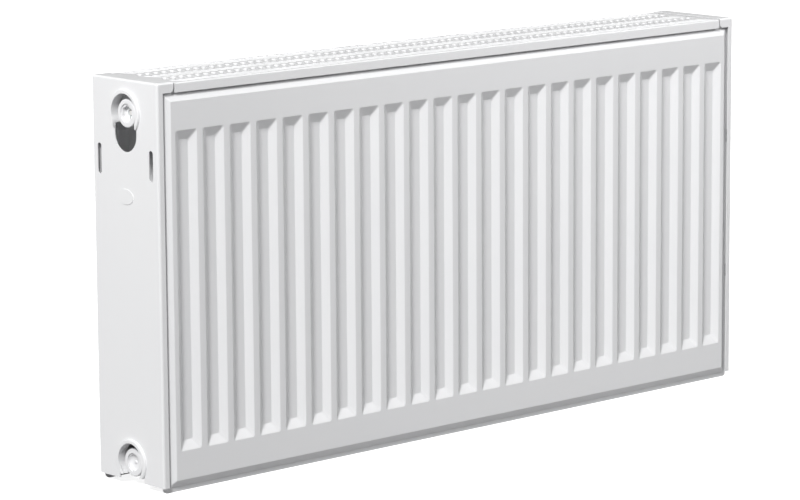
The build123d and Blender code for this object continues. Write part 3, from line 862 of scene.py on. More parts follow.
def dress(piece: bpy.types.Object, slot: Slot, *nodes: str) -> bpy.types.Object:
    """Give a finished piece its material, and let it stand for CAD nodes of one body.

    Args:
        piece: The finished piece.
        slot: Finish of the whole piece.
        *nodes: CAD nodes that it stands for; it rides on the body of the first.

    Returns:
        The same piece.
    """
    piece.data.materials.clear()
    piece.data.materials.append(MATERIALS[slot])
    for face in piece.data.polygons:
        face.material_index = 0
    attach(piece, body_of_node(nodes[0]))
    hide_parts(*nodes)
    log.info("%s: %d faces on %s", piece.name, len(piece.data.polygons), body_of_node(nodes[0]))
    return piece


@dataclass(frozen=True)
class Trees:
    """The geometry-node trees that the pieces share."""

    field: GeometryTree
    row: GeometryTree
    wheel: GeometryTree
    helix: GeometryTree
    pipe: GeometryTree


TREES = Trees(field_tree(), row_tree(), wheel_tree(), helix_tree(), pipe_tree())


def softened(node: str, name: str, edge: float = 0.25 * MM) -> bpy.types.Object:
    """Copy a CAD node, clean its flat faces and round its edges.

    Args:
        node: The CAD node.
        name: Name of the new piece.
        edge: Width of the rounding.

    Returns:
        The new piece, without a material.
    """
    shape = bmesh.new()
    shape.from_mesh(frame["nodes"][node].data)
    bmesh.ops.remove_doubles(shape, verts=shape.verts[:], dist=0.002 * MM)
    bmesh.ops.dissolve_limit(shape, angle_limit=math.radians(0.5), verts=shape.verts[:],
                             edges=shape.edges[:])
    bmesh.ops.recalc_face_normals(shape, faces=shape.faces[:])
    piece = object_from(name, shape)
    piece.data.shade_smooth()
    bevel = piece.modifiers.new("soft edges", "BEVEL")
    bevel.width = edge
    bevel.segments = 2
    bevel.limit_method = "ANGLE"
    bevel.angle_limit = math.radians(38)
    bevel.use_clamp_overlap = True
    settle(piece)
    return smooth(piece, 50)


# ---- water panels --------------------------------------------------------------------------
@dataclass
class PressedSheet:
    """One pressed sheet of a water panel, with its raised field and its row of flutes."""

    node: str
    side: int  # -1 faces -Y, 1 faces +Y
    flutes: int = 23
    module: float = 100 / 3 * MM
    thickness: float = 1.2 * MM
    press: float = 5.5 * MM
    flute_half_w: float = 13 * MM
    flute_half_h: float = 156.25 * MM
    side_run: float = 7 * MM
    end_run: float = 9.5 * MM
    flute_corner: float = 2.2 * MM
    cell_half_h: float = 160 * MM
    face_half_l: float = 385 * MM
    face_half_h: float = 184.75 * MM
    face_corner: float = 1 * MM
    bevel: float = 7.5 * MM
    lip_corner: float = 4 * MM
    bend: float = 1.5 * MM
    corner_steps: int = 5

    def __post_init__(self) -> None:
        """Read the sheet's place from its CAD node."""
        low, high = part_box(self.node)
        self.face_y = low.y if self.side < 0 else high.y
        self.middle = Vector(((low.x + high.x) / 2, self.face_y, (low.z + high.z) / 2))
        self.half_l = (high.x - low.x) / 2
        self.half_h = (high.z - low.z) / 2

    def at(self, x: float, z: float, depth: float) -> Vector:
        """Point at a distance from the middle of the face, pressed in by a depth."""
        return self.middle + Vector((x, -self.side * depth, z))

    def ramp(self, run: float) -> list[Point]:
        """(inset, depth) pairs down a sloping wall, with a round bend at each end."""
        return bent_profile([(-self.bend, 0), (0, 0), (run, self.press),
                             (run + self.bend, self.press)], self.bend)[1:-1]

    def flute_cell(self) -> bpy.types.Object:
        """One flute and the flat land around it, about the middle of the sheet."""
        shape = bmesh.new()
        loops = []
        stretch = self.end_run / self.side_run
        for inset, depth in self.ramp(self.side_run):
            outline = rounded_rectangle(self.flute_half_w - inset,
                                        self.flute_half_h - inset * stretch,
                                        self.flute_corner, self.corner_steps)
            loops.append([self.at(x, z, depth) for x, z in outline])
        rows = loft(shape, loops)
        shape.faces.new(rows[-1])
        corners = [(1, 1), (-1, 1), (-1, -1), (1, -1)]
        border = loop_of(shape, [self.at(a * self.module / 2, b * self.cell_half_h, 0)
                                 for a, b in corners])
        fill_between(shape, border, rows[0])
        facing(shape, Vector((0, self.side, 0)))
        return object_from(self.node + "_flute", shape)

    def surround(self) -> bpy.types.Object:
        """The field's plain border, its bevel and the flat seam lip outside it."""
        shape = bmesh.new()
        loops = []
        for offset, depth in self.ramp(self.bevel):
            outline = rounded_rectangle(self.face_half_l + offset, self.face_half_h + offset,
                                        self.face_corner + offset / 4, self.corner_steps)
            loops.append([self.at(x, z, depth) for x, z in outline])
        outline = rounded_rectangle(self.half_l, self.half_h, self.lip_corner,
                                    self.corner_steps)
        loops.append([self.at(x, z, self.press) for x, z in outline])
        rows = loft(shape, loops)
        steps = range(self.flutes + 1)
        stations = [(index - self.flutes / 2) * self.module for index in steps]
        top = [self.at(x, self.cell_half_h, 0) for x in reversed(stations)]
        foot = [self.at(x, -self.cell_half_h, 0) for x in stations]
        fill_between(shape, rows[0], loop_of(shape, top + foot))
        facing(shape, Vector((0, self.side, 0)))
        return object_from(self.node + "_surround", shape)

    def build(self, name: str) -> bpy.types.Object:
        """Build the whole sheet and let it stand for its CAD node."""
        reach = (self.flutes - 1) / 2 * self.module
        cells = TREES.row.grow(self.flute_cell(), Count=self.flutes, Start=(-reach, 0.0, 0.0),
                               Pitch=(self.module, 0.0, 0.0),
                               Material=MATERIALS[Slot.WHITE_ENAMEL])
        sheet = refaced(join(name, [cells, self.surround()]), Vector((0, self.side, 0)))
        smooth(thicken(sheet, self.thickness))
        return dress(sheet, Slot.WHITE_ENAMEL, self.node)


# ---- convector sheets ----------------------------------------------------------------------
@dataclass
class ConvectorSheet:
    """Corrugated sheet spot-welded to the inner face of a panel."""

    node: str
    side: int  # -1 crests towards the front, 1 towards the rear
    waves: int = 21
    module: float = 100 / 3 * MM
    thickness: float = 0.6 * MM
    flat: float = 6 * MM
    bend: float = 2 * MM

    def __post_init__(self) -> None:
        """Read the sheet's place from its CAD node."""
        low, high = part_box(self.node)
        crest, valley = (low.y, high.y) if self.side < 0 else (high.y, low.y)
        self.crest_y = crest - self.side * self.thickness / 2
        self.valley_y = valley + self.side * self.thickness / 2
        self.low_z, self.high_z = low.z, high.z
        self.middle_x = (low.x + high.x) / 2

    def strip(self, path: Sequence[Point], name: str) -> bpy.types.Object:
        """Open sheet that stands on a path in plan."""
        shape = bmesh.new()
        rows = [[Vector((self.middle_x + x, y, z)) for x, y in path]
                for z in (self.low_z, self.high_z)]
        loft(shape, rows, closed=False)
        outward(shape)
        return object_from(name, shape)

    def build(self, name: str) -> bpy.types.Object:
        """Build the sheet from equal waves and let it stand for its CAD node."""
        half, flat = self.module / 2, self.flat / 2
        corners = [(-half, self.crest_y), (flat - half, self.crest_y), (-flat, self.valley_y),
                   (flat, self.valley_y), (half - flat, self.crest_y), (half, self.crest_y)]
        wave = self.strip(bent_profile(corners, self.bend), self.node + "_wave")
        reach = (self.waves - 1) / 2 * self.module
        waves = TREES.row.grow(wave, Count=self.waves, Start=(-reach, 0.0, 0.0),
                               Pitch=(self.module, 0.0, 0.0),
                               Material=MATERIALS[Slot.WHITE_ENAMEL])
        edge = self.waves / 2 * self.module
        ends = [self.strip([(end * edge, self.crest_y), (end * (edge + flat), self.crest_y)],
                           self.node + "_end") for end in (-1, 1)]
        sheet = refaced(join(name, [waves, *ends]))
        smooth(thicken(sheet, self.thickness, offset=0))
        return dress(sheet, Slot.WHITE_ENAMEL, self.node)


# ---- top grille ----------------------------------------------------------------------------
@dataclass
class TopGrille:
    """Sheet-metal grille whose slots lean to and fro, so that its bars run in a zigzag."""

    columns: int = 74
    rows: int = 5
    pitch: float = 10 * MM
    row_pitch: float = 19.8 * MM
    slot_length: float = 18.5 * MM
    slot_width: float = 5 * MM
    lean: float = math.radians(30)
    thickness: float = 0.7 * MM
    rim_depth: float = 2.6 * MM
    rim_round: float = 0.5 * MM
    lip_round: float = 1.5 * MM
    node: str = "top_grille"

    def __post_init__(self) -> None:
        """Read the grille's place from its CAD node."""
        low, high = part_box(self.node)
        self.middle = Vector(((low.x + high.x) / 2, (low.y + high.y) / 2, high.z))
        self.half_l = (high.x - low.x) / 2
        self.half_d = (high.y - low.y) / 2
        self.lip = high.z - low.z
        self.shear = math.tan(self.lean) * self.row_pitch / 2

    def at(self, x: float, y: float, drop: float = 0.0) -> Vector:
        """Point over the grille's middle, a drop below its top."""
        return self.middle + Vector((x, y, -drop))

    def slot_outline(self, lean: float, grow: float) -> list[Point]:
        """Outline of a leaning slot with round ends, grown by an offset."""
        radius = self.slot_width / 2 + grow
        reach = (self.slot_length - self.slot_width) / 2
        points = []
        steps = 6
        for end in (0, 1):
            for step in range(steps + 1):
                angle = math.pi * (end + step / steps)
                x = radius * math.cos(angle)
                y = radius * math.sin(angle) + (reach if end == 0 else -reach)
                points.append((x * math.cos(lean) + y * math.sin(lean),
                               y * math.cos(lean) - x * math.sin(lean)))
        return points

    def cell(self, way: int) -> bpy.types.Object:
        """One slot with its turned-down rim, in a cell that leans with it."""
        shape = bmesh.new()
        profile = [(self.rim_round, 0.0), (self.rim_round * 0.3, self.rim_round * 0.3),
                   (0.0, self.rim_round), (0.0, self.rim_depth)]
        loops = [[self.at(x, y, drop) for x, y in self.slot_outline(way * self.lean, grow)]
                 for grow, drop in profile]
        rows = loft(shape, loops)
        half, depth, shear = self.pitch / 2, self.row_pitch / 2, way * self.shear
        border = loop_of(shape, [self.at(half + shear, depth), self.at(-half + shear, depth),
                                 self.at(-half - shear, -depth), self.at(half - shear, -depth)])
        fill_between(shape, border, rows[0])
        facing(shape, Vector((0, 0, 1)))
        return object_from("grille_cell", shape)

    def seam(self, row: int) -> float:
        """Sideways shift of the zigzag at the seam before a row of cells."""
        return self.shear if row % 2 == 0 else -self.shear

    def border_and_lips(self) -> bpy.types.Object:
        """Plain border around the slots, bent down into the front and rear lips."""
        shape = bmesh.new()
        reach = self.columns / 2 * self.pitch
        deep = self.rows / 2 * self.row_pitch
        stations = [index * self.pitch - reach for index in range(self.columns + 1)]
        near = [self.at(x + self.seam(0), -deep) for x in stations]
        far = [self.at(x + self.seam(self.rows), deep) for x in stations]
        seams = [(self.seam(row), row * self.row_pitch - deep) for row in range(1, self.rows)]
        right = [self.at(reach + shift, y) for shift, y in seams]
        left = [self.at(shift - reach, y) for shift, y in reversed(seams)]
        inner = loop_of(shape, near + right + list(reversed(far)) + left)
        flat_y = self.half_d - self.lip_round
        outer = loop_of(shape, [self.at(a * self.half_l, b * flat_y)
                                for a, b in ((-1, -1), (1, -1), (1, 1), (-1, 1))])
        fill_between(shape, outer, inner)
        for side in (-1, 1):
            self.add_lip(shape, side, flat_y)
        facing(shape, Vector((0, 0, 1)))
        return object_from("grille_border", shape)

    def add_lip(self, shape: bmesh.types.BMesh, side: int, flat_y: float) -> None:
        """Add the round bend and the hanging lip of one long side."""
        bend = [(flat_y + self.lip_round * math.sin(a), self.lip_round * (1 - math.cos(a)))
                for a in (step * math.pi / 8 for step in range(5))]
        bend.append((self.half_d, self.lip))
        rows = [[self.at(x, side * y, drop) for x in (-self.half_l, self.half_l)]
                for y, drop in bend]
        loft(shape, rows, closed=False)

    def build(self, name: str) -> bpy.types.Object:
        """Build the grille and let it stand for its CAD node."""
        parts = []
        for way, rows in ((-1, (self.rows + 1) // 2), (1, self.rows // 2)):
            parts.append(TREES.field.grow(
                self.cell(way), Columns=self.columns, Rows=rows,
                Length=(self.columns - 1) * self.pitch, Depth=(rows - 1) * 2 * self.row_pitch,
                Middle=(0.0, 0.0, 0.0), Material=MATERIALS[Slot.WHITE_CASING]))
        grille = refaced(join(name, [*parts, self.border_and_lips()]), Vector((0, 0, 1)))
        smooth(thicken(grille, self.thickness))
        return dress(grille, Slot.WHITE_CASING, self.node)


# ---- end covers ----------------------------------------------------------------------------
@dataclass
class EndCover:
    """Thin cover that hooks over one end of the casing, with its spring clips inside."""

    end: str  # left or right
    edge: float = 0.3 * MM
    clip_edge: float = 0.12 * MM

    def build(self) -> list[bpy.types.Object]:
        """Build the cover and its clips, which stand for their CAD nodes."""
        cover_node = self.end + "_end_cover"
        clip_node = self.end + "_cover_clips"
        cover = softened(cover_node, self.end + "_cover_shell", self.edge)
        clips = softened(clip_node, self.end + "_cover_spring_clips", self.clip_edge)
        return [dress(cover, Slot.WHITE_CASING, cover_node),
                dress(clips, Slot.SPRING_STEEL, clip_node)]


# ---- corner connectors, ports and the riser --------------------------------------------------
THREAD_SECTION = 0.45  # radius of a ridge's section, in pitches


def thread(name: str, axis: Axis, mouth: Vector, radius: float, length: float,
           pitch: float) -> bpy.types.Object:
    """Helical ridge of a screw thread.

    Args:
        name: Name of the new object.
        axis: Direction in which the thread runs from its mouth.
        mouth: Middle of the thread's first end.
        radius: Radius of the ridge's middle line.
        length: Length of the thread.
        pitch: Pitch of the thread.

    Returns:
        The ridge as a closed solid.
    """
    ridge = new_object(name, bpy.data.meshes.new(name))
    turn = axis.turn().to_euler()
    return TREES.helix.grow(ridge, Turns=length / pitch, Radius=radius, Height=length,
                            Section=pitch * THREAD_SECTION, Sides=4, Turn=tuple(turn),
                            Place=tuple(mouth), Material=MATERIALS[Slot.BRASS])


@dataclass
class Waterways:
    """Corner connectors, bottom ports, their bracket and the riser to the valve."""

    edge: float = 0.35 * MM
    bore_radius: float = 9.3 * MM
    pipe_pitch: float = 1.814 * MM
    thread_length: float = 13 * MM
    thread_start: float = 1.2 * MM
    thread_sink: float = 0.6  # share of the ridge's section that lies in the wall
    riser_run: float = 20 * MM  # height of the riser's level run above the bracket
    braze_overlap: float = 0.3 * MM
    braze_steps: int = 5
    riser_radius: float = 7 * MM
    riser_bend: float = 17 * MM
    braze_radius: float = 2.2 * MM

    def tapped(self, node: str, axis: Axis, mouth: Vector, ending: str) -> bpy.types.Object:
        """A painted fitting with the thread that runs into it from a mouth."""
        radius = self.bore_radius + THREAD_SECTION * self.pipe_pitch * self.thread_sink
        ridge = thread(node + "_thread", axis, mouth, radius, self.thread_length,
                       self.pipe_pitch)
        body = softened(node, node + ending, self.edge)
        return dress(join(node + "_painted", [body, ridge]), Slot.WHITE_ENAMEL, node)

    def connector(self, node: str, axis: Axis) -> bpy.types.Object:
        """One corner connector with the thread inside its boss."""
        low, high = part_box(node)
        hub = centre_of("bottom_left_plug" if "bottom" in node else "vent_plug")
        mouth_x = low.x if axis is Axis.LEFT else high.x
        inward = Axis.RIGHT if axis is Axis.LEFT else Axis.LEFT
        mouth = Vector((mouth_x, hub.y, hub.z)) + inward.value * self.thread_start
        return self.tapped(node, inward, mouth, "_body")

    def port(self, node: str) -> bpy.types.Object:
        """One bottom port block with the thread of its tapping."""
        low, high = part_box(node)
        mouth = Vector(((low.x + high.x) / 2, (low.y + high.y) / 2, low.z + self.thread_start))
        return self.tapped(node, Axis.UP, mouth, "_block")

    def braze(self, place: Vector) -> bpy.types.Object:
        """Fillet of brazing around the riser where it meets another piece."""
        inner, size = self.riser_radius - self.braze_overlap, self.braze_radius
        steps = self.braze_steps
        arc = [(inner + size * (1 - math.sin(a)), size * (1 - math.cos(a)))
               for a in (step * math.pi / 2 / steps for step in range(steps + 1))]
        return turned("braze", [(inner, 0.0), *arc], Matrix.Translation(place), 40, ring=True)

    def riser(self) -> bpy.types.Object:
        """Bent tube that carries the supply water up to the valve housing."""
        node = "riser_tube"
        low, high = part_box(node)
        supply = centre_of("supply_port")
        run_z = centre_of("port_bracket").z + self.riser_run
        top_x = high.x - self.riser_radius
        path = [Vector((supply.x, supply.y, low.z)), Vector((supply.x, supply.y, run_z)),
                Vector((top_x, supply.y, run_z)), Vector((top_x, supply.y, high.z))]
        shape = bmesh.new()
        line = loop_of(shape, path)
        for first, second in zip(line, line[1:]):
            shape.edges.new((first, second))
        tube = TREES.pipe.grow(object_from(node + "_path", shape), Bend=self.riser_bend,
                               Radius=self.riser_radius, Material=MATERIALS[Slot.WHITE_ENAMEL])
        bracket_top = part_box("port_bracket")[1].z
        foot = self.braze(Vector((supply.x, supply.y, bracket_top)))
        return dress(smooth(join("riser_pipe", [tube, foot])), Slot.WHITE_ENAMEL, node)

    def build(self) -> list[bpy.types.Object]:
        """Build every water-carrying fitting outside the panels."""
        made = [self.connector("top_left_connector", Axis.LEFT),
                self.connector("bottom_left_connector", Axis.LEFT),
                self.connector("bottom_right_connector", Axis.RIGHT),
                self.connector("valve_housing", Axis.RIGHT)]
        made += [self.port("supply_port"), self.port("return_port"), self.riser()]
        bracket = softened("port_bracket", "port_bracket_plate", self.edge)
        made.append(dress(bracket, Slot.WHITE_ENAMEL, "port_bracket"))
        return made


# ---- plugs and the air vent ----------------------------------------------------------------
@dataclass
class Plugs:
    """Plugs of the unused tappings, their gaskets, and the air vent's moving pieces."""

    radius: float = 9.25 * MM
    length: float = 14 * MM
    dish_radius: float = 8 * MM
    dish_depth: float = 2.9 * MM
    rim: float = 0.5 * MM
    button_radius: float = 1.7 * MM
    button_height: float = 1.1 * MM
    steps: int = 7
    edge: float = 0.2 * MM

    def dished(self, node: str, axis: Axis) -> bpy.types.Object:
        """Plug with a smooth dish, a small button in its middle and a rounded rim."""
        low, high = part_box(node)
        middle = centre_of(node)
        top_x = low.x if axis is Axis.LEFT else high.x
        place = Matrix.Translation(Vector((top_x, middle.y, middle.z))) @ axis.turn()
        bowl = []
        for step in range(self.steps + 1):
            angle = step / self.steps * math.pi / 2
            bowl.append((self.button_radius + (self.dish_radius - self.button_radius)
                         * math.cos(angle), -self.dish_depth * math.sin(angle)))
        button_top = self.button_height - self.dish_depth
        button = [(self.button_radius, button_top - 0.5 * MM),
                  (self.button_radius * 0.8, button_top), (0.0, button_top + 0.1 * MM)]
        profile = [(0.0, -self.length), (self.radius, -self.length),
                   (self.radius, -self.rim), (self.radius - self.rim, 0.0), *bowl, *button]
        plug = turned(node + "_turned", profile, place, 64)
        return dress(smooth(plug, 60), Slot.WHITE_ENAMEL, node)

    def gasket(self, node: str, axis: Axis) -> bpy.types.Object:
        """Rubber ring with a barrel-shaped section."""
        low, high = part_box(node)
        middle = centre_of(node)
        half = (high.x - low.x) / 2
        inner = self.radius * 0.65
        mean, swell = (self.radius + inner) / 2, (self.radius - inner) / 2
        section = [(mean + swell * math.cos(a), half * math.sin(a) * 0.96)
                   for a in (step * math.pi / 6 for step in range(12))]
        ring = turned(node + "_ring", section, Matrix.Translation(middle) @ axis.turn(), ring=True)
        return dress(smooth(ring, 80), Slot.SEAL_RUBBER, node)

    def build(self) -> list[bpy.types.Object]:
        """Build the plugs, gaskets, vent plug, nozzle and bleed screw."""
        made = [self.dished("bottom_left_plug", Axis.LEFT),
                self.dished("bottom_right_plug", Axis.RIGHT),
                self.gasket("bottom_left_gasket", Axis.LEFT),
                self.gasket("bottom_right_gasket", Axis.RIGHT),
                self.gasket("vent_gasket", Axis.LEFT)]
        for node, name, slot in (("vent_plug", "vent_plug_hexagon", Slot.WHITE_ENAMEL),
                                 ("vent_nozzle", "vent_spout", Slot.WHITE_PLASTIC),
                                 ("bleed_screw", "bleed_screw_square", Slot.NICKEL)):
            made.append(dress(softened(node, name, self.edge), slot, node))
        return made


# ---- valve ---------------------------------------------------------------------------------
@dataclass
class Valve:
    """Thermostatic valve insert, its preset ring and its knurled protective cap."""

    head_radius: float = 15 * MM
    head_pitch: float = 1.5 * MM
    head_thread: float = 8.4 * MM
    head_start: float = 4.2 * MM  # from the O-ring to the head's thread
    head_sink: float = 0.55 * MM
    spring_radius: float = 4.2 * MM
    spring_wire: float = 0.45 * MM
    spring_pitch: float = 2.2 * MM
    pin_travel: float = 2.3 * MM
    ribs: int = 20
    rib_width: float = 2.4 * MM
    rib_height: float = 1.0 * MM
    rib_foot: float = 2.2 * MM  # from the cap's mouth to a rib
    rib_head: float = 2.4 * MM  # from a rib to the cap's outer face
    rib_run: float = 0.9 * MM
    rib_round: float = 0.12 * MM
    cap_radius: float = 16.3 * MM
    cap_bore: float = 15.25 * MM
    cap_wall: float = 3.2 * MM
    cap_crown: float = 1.8 * MM
    edge: float = 0.2 * MM

    def along(self, x: float) -> Matrix:
        """Place on the valve's axis at x, pointing out of the radiator."""
        hub = centre_of("valve_o_ring")
        return Matrix.Translation(Vector((x, hub.y, hub.z))) @ Axis.RIGHT.turn()

    def insert(self) -> bpy.types.Object:
        """Brass insert with a real thread for a thermostatic head."""
        node = "valve_insert_body"
        body = softened(node, node + "_turned", self.edge)
        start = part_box("valve_o_ring")[1].x + self.head_start
        hub = centre_of("valve_o_ring")
        ridge = thread(node + "_thread", Axis.RIGHT, Vector((start, hub.y, hub.z)),
                       self.head_radius - self.head_sink, self.head_thread, self.head_pitch)
        return dress(join("valve_insert", [body, ridge]), Slot.BRASS, node)

    def spring(self) -> bpy.types.Object:
        """Return spring of the valve pin."""
        node = "valve_spring"
        low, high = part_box(node)
        hub = centre_of("valve_o_ring")
        length = high.x - low.x - 2 * self.spring_wire
        coil = new_object(node + "_coil", bpy.data.meshes.new(node + "_coil"))
        turn = Axis.RIGHT.turn().to_euler()
        TREES.helix.grow(coil, Turns=length / self.spring_pitch, Radius=self.spring_radius,
                         Height=length, Section=self.spring_wire, Sides=10, Turn=tuple(turn),
                         Place=(low.x + self.spring_wire, hub.y, hub.z),
                         Material=MATERIALS[Slot.SPRING_STEEL])
        dress(smooth(coil, 60), Slot.SPRING_STEEL, node)
        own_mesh(coil)
        return coil

    def o_ring(self) -> bpy.types.Object:
        """Round rubber ring under the insert's hexagon."""
        node = "valve_o_ring"
        low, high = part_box(node)
        wire = (high.x - low.x) / 2
        outer = (high.z - low.z) / 2
        section = [(outer - wire * 1.15 + wire * 1.1 * math.cos(a), wire * math.sin(a))
                   for a in (step * math.pi / 6 for step in range(12))]
        ring = turned("valve_seal_ring", section, self.along((low.x + high.x) / 2), ring=True)
        return dress(smooth(ring, 80), Slot.SEAL_RUBBER, node)

    def rib(self) -> bpy.types.Object:
        """One grip rib of the cap, standing on its skin above the axis."""
        low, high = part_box("valve_cap")
        start, finish = low.x + self.rib_foot, high.x - self.rib_head
        root = self.cap_radius - 2 * self.rib_height
        shape = bmesh.new()
        loops = []
        for x, share in ((start, 0.35), (start + self.rib_run, 1.0),
                         (finish - self.rib_run, 1.0), (finish, 0.35)):
            crest = root + self.rib_height + self.rib_height * share * 0.98
            half = self.rib_width / 2
            waist = (half * 0.9, (root + crest) / 2 + 0.2 * MM)
            shoulder = (half * 0.5, crest - self.rib_round)
            outline = [(-half, root), (half, root), waist, shoulder, (0.0, crest),
                       (-shoulder[0], shoulder[1]), (-waist[0], waist[1])]
            loops.append([Vector((x, y, z)) for y, z in outline])
        rows = loft(shape, loops)
        shape.faces.new(rows[0])
        shape.faces.new(rows[-1])
        outward(shape)
        return object_from("cap_rib", shape)

    def cap(self) -> bpy.types.Object:
        """Protective cap that also opens and closes the valve by hand."""
        node = "valve_cap"
        low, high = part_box(node)
        length = high.x - low.x
        skin = self.cap_radius - self.rib_height
        crown = self.cap_crown
        arc = [(skin - crown * (1 - math.cos(a)), length - crown * (1 - math.sin(a)))
               for a in (step * math.pi / 8 for step in range(5))]
        roof = length - self.cap_wall
        profile = [(0.0, roof), (self.cap_bore - 0.4 * MM, roof), (self.cap_bore - 0.15 * MM,
                   roof - 0.6 * MM), (self.cap_bore - 0.15 * MM, 0.3 * MM),
                   (self.cap_bore, 0.0), (self.cap_radius - 0.35 * MM, 0.0),
                   (self.cap_radius, 0.3 * MM), (self.cap_radius, 1.9 * MM), (skin, 2.3 * MM),
                   *arc, (11.4 * MM, length), (11.0 * MM, length - 0.5 * MM),
                   (10.2 * MM, length - 0.5 * MM), (9.8 * MM, length), (0.0, length)]
        body = turned("cap_body", profile, self.along(low.x), 80)
        hub = centre_of("valve_o_ring")
        ribs = TREES.wheel.grow(self.rib(), Count=self.ribs, Hub=(0.0, hub.y, hub.z),
                                Step=2 * math.pi / self.ribs,
                                Material=MATERIALS[Slot.WHITE_PLASTIC])
        return dress(smooth(join("valve_hand_cap", [body, ribs])), Slot.WHITE_PLASTIC, node)

    def build(self) -> list[bpy.types.Object]:
        """Build every piece of the valve."""
        made = [self.insert(), self.spring(), self.o_ring(), self.cap()]
        for node, name, slot in (("preset_ring", "preset_dial", Slot.GREY_PLASTIC),
                                 ("valve_pin", "valve_stem", Slot.BRASS),
                                 ("valve_washer", "valve_disc", Slot.SEAL_RUBBER),
                                 ("valve_pin_bush", "stem_bush", Slot.BRASS)):
            made.append(dress(softened(node, name, self.edge), slot, node))
        return made


# ---- hanging lugs --------------------------------------------------------------------------
@dataclass
class HangingLugs:
    """Bridges behind the rear panel, each held by two beads of weld."""

    edge: float = 0.4 * MM
    bead: float = 1.5 * MM
    bead_pitch: float = 1.9 * MM
    bead_height: float = 1.1 * MM
    bead_margin: float = 3 * MM  # from the lug's ends to the first and last bead
    bead_aside: float = 0.2 * MM
    bead_lift: float = 0.4 * MM

    def weld_bead(self) -> bpy.types.Object:
        """One overlapping ripple of a weld seam."""
        shape = bmesh.new()
        bmesh.ops.create_icosphere(shape, subdivisions=2, radius=self.bead)
        bmesh.ops.scale(shape, vec=(1.0, self.bead_height / self.bead, 1.0), verts=shape.verts[:])
        return object_from("weld_bead", shape)

    def lug(self, node: str) -> bpy.types.Object:
        """One bridge with its two weld seams."""
        low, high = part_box(node)
        height = high.z - low.z
        count = int((height - 2 * self.bead_margin) / self.bead_pitch)
        parts = [softened(node, node + "_plate", self.edge)]
        panel_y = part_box("rear_panel_outer_sheet")[1].y
        for x in (low.x - self.bead_aside, high.x + self.bead_aside):
            start = (x, panel_y + self.bead_lift, low.z + self.bead_margin)
            parts.append(TREES.row.grow(self.weld_bead(), Count=count, Start=start,
                                        Pitch=(0.0, 0.0, self.bead_pitch),
                                        Material=MATERIALS[Slot.WHITE_ENAMEL]))
        return dress(smooth(join(node + "_welded", parts)), Slot.WHITE_ENAMEL, node)

    def build(self) -> list[bpy.types.Object]:
        """Build the four lugs."""
        return [self.lug(level + "_" + end + "_lug")
                for end in ("left", "right") for level in ("bottom", "top")]


# ---- stage, light and camera ---------------------------------------------------------------
@dataclass(frozen=True)
class Strip:
    """A soft rectangular light, its place, the point that it looks at and its watts."""

    name: str
    place: Triple
    aim: Triple
    length: float
    width: float
    power: float


STRIPS = (Strip("front_strip", (0.3, -0.62, 0.88), (0.2, 0.0, 0.38), 1.2, 0.3, 3.2),
          Strip("right_strip", (1.1, -1.1, 1.2), (0.3, 0.0, 0.35), 0.9, 0.4, 1.8),
          Strip("left_strip", (-0.95, -0.15, 0.85), (-0.4, 0.0, 0.38), 0.5, 0.3, 2.1),
          Strip("back_strip", (0.6, 1.7, 0.19), (0.1, 0.06, 0.19), 1.4, 0.3, 14.0))


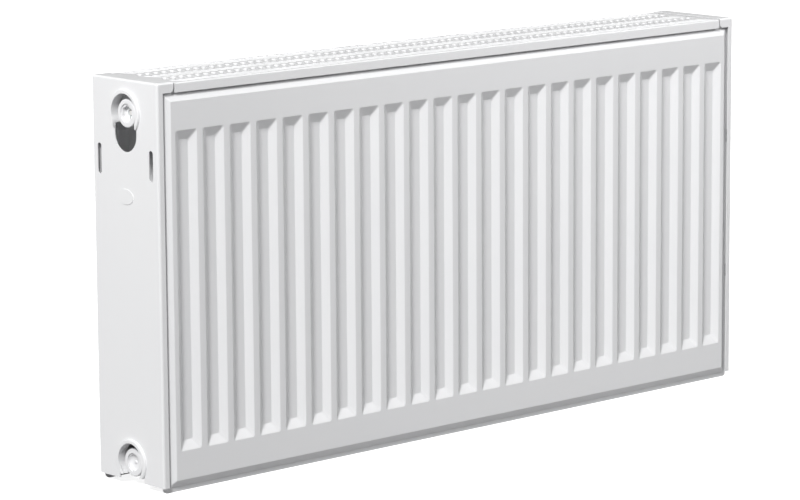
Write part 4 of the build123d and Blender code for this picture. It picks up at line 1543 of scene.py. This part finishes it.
@dataclass
class Studio:
    """Pale floor, soft lights and the camera."""

    floor_half: float = 40.0
    floor_tone: Tone = (0.94, 0.94, 0.94)
    floor_bounce: Tone = (0.16, 0.16, 0.165)
    floor_glow: float = 0.85
    camera_place: Triple = (-2.4927, -2.7074, 0.8332)
    camera_down_deg: float = 10.015
    camera_left_deg: float = 42.049
    camera_roll_deg: float = -0.386
    lens: float = 161.4
    air: float = 0.11
    key_power: float = 2.85
    key_spread_deg: float = 14.0
    key_from: Triple = (-0.55, -0.31, 0.6)

    def floor(self) -> None:
        """Lay a floor that glows white to the camera and in gloss, and is dull to other rays."""
        shape = bmesh.new()
        corners = ((-1, -1), (1, -1), (1, 1), (-1, 1))
        shape.faces.new(loop_of(shape, [Vector((x, y, 0)) * self.floor_half
                                        for x, y in corners]))
        floor = object_from("studio_floor", shape)
        finish = Surface("Pale studio floor", 0.9)
        drift = finish.drift(0.6, self.floor_tone, tuple(0.99 * tone for tone in self.floor_tone))
        path = finish.node("LightPath").outputs
        seen = finish.node("Math", {0: path["Is Camera Ray"], 1: path["Is Glossy Ray"]},
                           operation="MAXIMUM").outputs[0]
        bounce = finish.node("Mix", {"Factor": seen, "A": (*self.floor_bounce, 1.0),
                                     "B": drift.outputs["Color"]}, data_type="RGBA")
        finish.colour(bounce.outputs["Result"])
        finish.glow(finish.node("Mix", {
            "Factor": seen, "A": (0.0, 0.0, 0.0, 1.0), "B": (1.0, 1.0, 1.0, 1.0)},
            data_type="RGBA").outputs["Result"])
        finish.plain("Emission Strength", self.floor_glow)
        finish.plain("Specular IOR Level", 0.1)
        floor.data.materials.append(finish.material)
        floor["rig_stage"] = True

    def hang(self, light: bpy.types.Light, place: Sequence[float],
             aim: Sequence[float]) -> None:
        """Hang a light at a place, looking at a point."""
        lamp = bpy.data.objects.new(light.name, light)
        bpy.context.scene.collection.objects.link(lamp)
        lamp.location = place
        lamp.rotation_mode = "QUATERNION"
        lamp.rotation_quaternion = (Vector(aim) - Vector(place)).to_track_quat("-Z", "Y")

    def strip(self, strip: Strip) -> None:
        """Hang one soft strip light."""
        light = bpy.data.lights.new(strip.name, "AREA")
        light.shape = "RECTANGLE"
        light.size = strip.length
        light.size_y = strip.width
        light.energy = strip.power
        self.hang(light, strip.place, strip.aim)

    def lights(self) -> None:
        """Set the pale surroundings, the main light high on the left and four soft strips."""
        world = bpy.data.worlds.new("Studio air")
        world.use_nodes = True
        world.node_tree.nodes["Background"].inputs["Color"].default_value = (1, 1, 1, 1)
        world.node_tree.nodes["Background"].inputs["Strength"].default_value = self.air
        bpy.context.scene.world = world
        bpy.context.scene.view_settings.view_transform = "Standard"
        key = bpy.data.lights.new("key_light", "SUN")
        key.energy = self.key_power
        key.angle = math.radians(self.key_spread_deg)
        self.hang(key, Vector(self.key_from) * 3, (0.0, 0.0, 0.0))
        for strip in STRIPS:
            self.strip(strip)

    def camera(self) -> None:
        """Set the camera."""
        view = bpy.data.cameras.new("camera")
        view.lens = self.lens
        view.clip_start = 0.05
        view.clip_end = 200.0
        camera = bpy.data.objects.new("camera", view)
        bpy.context.scene.collection.objects.link(camera)
        turn = (Matrix.Rotation(math.radians(-self.camera_left_deg), 4, "Z")
                @ Matrix.Rotation(math.radians(90 - self.camera_down_deg), 4, "X")
                @ Matrix.Rotation(math.radians(self.camera_roll_deg), 4, "Z"))
        camera.matrix_world = Matrix.Translation(self.camera_place) @ turn
        bpy.context.scene.camera = camera

    def build(self) -> None:
        """Set up the whole studio."""
        self.floor()
        self.lights()
        self.camera()


def corners() -> list[list[float]]:
    """Lowest and highest corner of what is shown, as plain numbers."""
    return [[float(value) for value in corner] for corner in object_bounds()]


def main() -> None:
    """Build the radiator piece by piece."""
    logging.basicConfig(level=logging.INFO, format="%(name)s: %(message)s")
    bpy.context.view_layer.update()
    Studio().build()
    for node, side, name in (("front_panel_outer_sheet", -1, "front_face_sheet"),
                             ("front_panel_inner_sheet", 1, "front_back_sheet"),
                             ("rear_panel_inner_sheet", -1, "rear_back_sheet"),
                             ("rear_panel_outer_sheet", 1, "rear_face_sheet")):
        PressedSheet(node, side).build(name)
    ConvectorSheet("front_convector_sheet", -1).build("front_fins")
    ConvectorSheet("rear_convector_sheet", 1).build("rear_fins")
    TopGrille().build("zigzag_grille")
    clips = softened("grille_clips", "grille_spring_clips", 0.12 * MM)
    dress(clips, Slot.SPRING_STEEL, "grille_clips")
    for end in ("left", "right"):
        EndCover(end).build()
    Waterways().build()
    Plugs().build()
    Valve().build()
    HangingLugs().build()


if __name__ == "__main__":
    main()
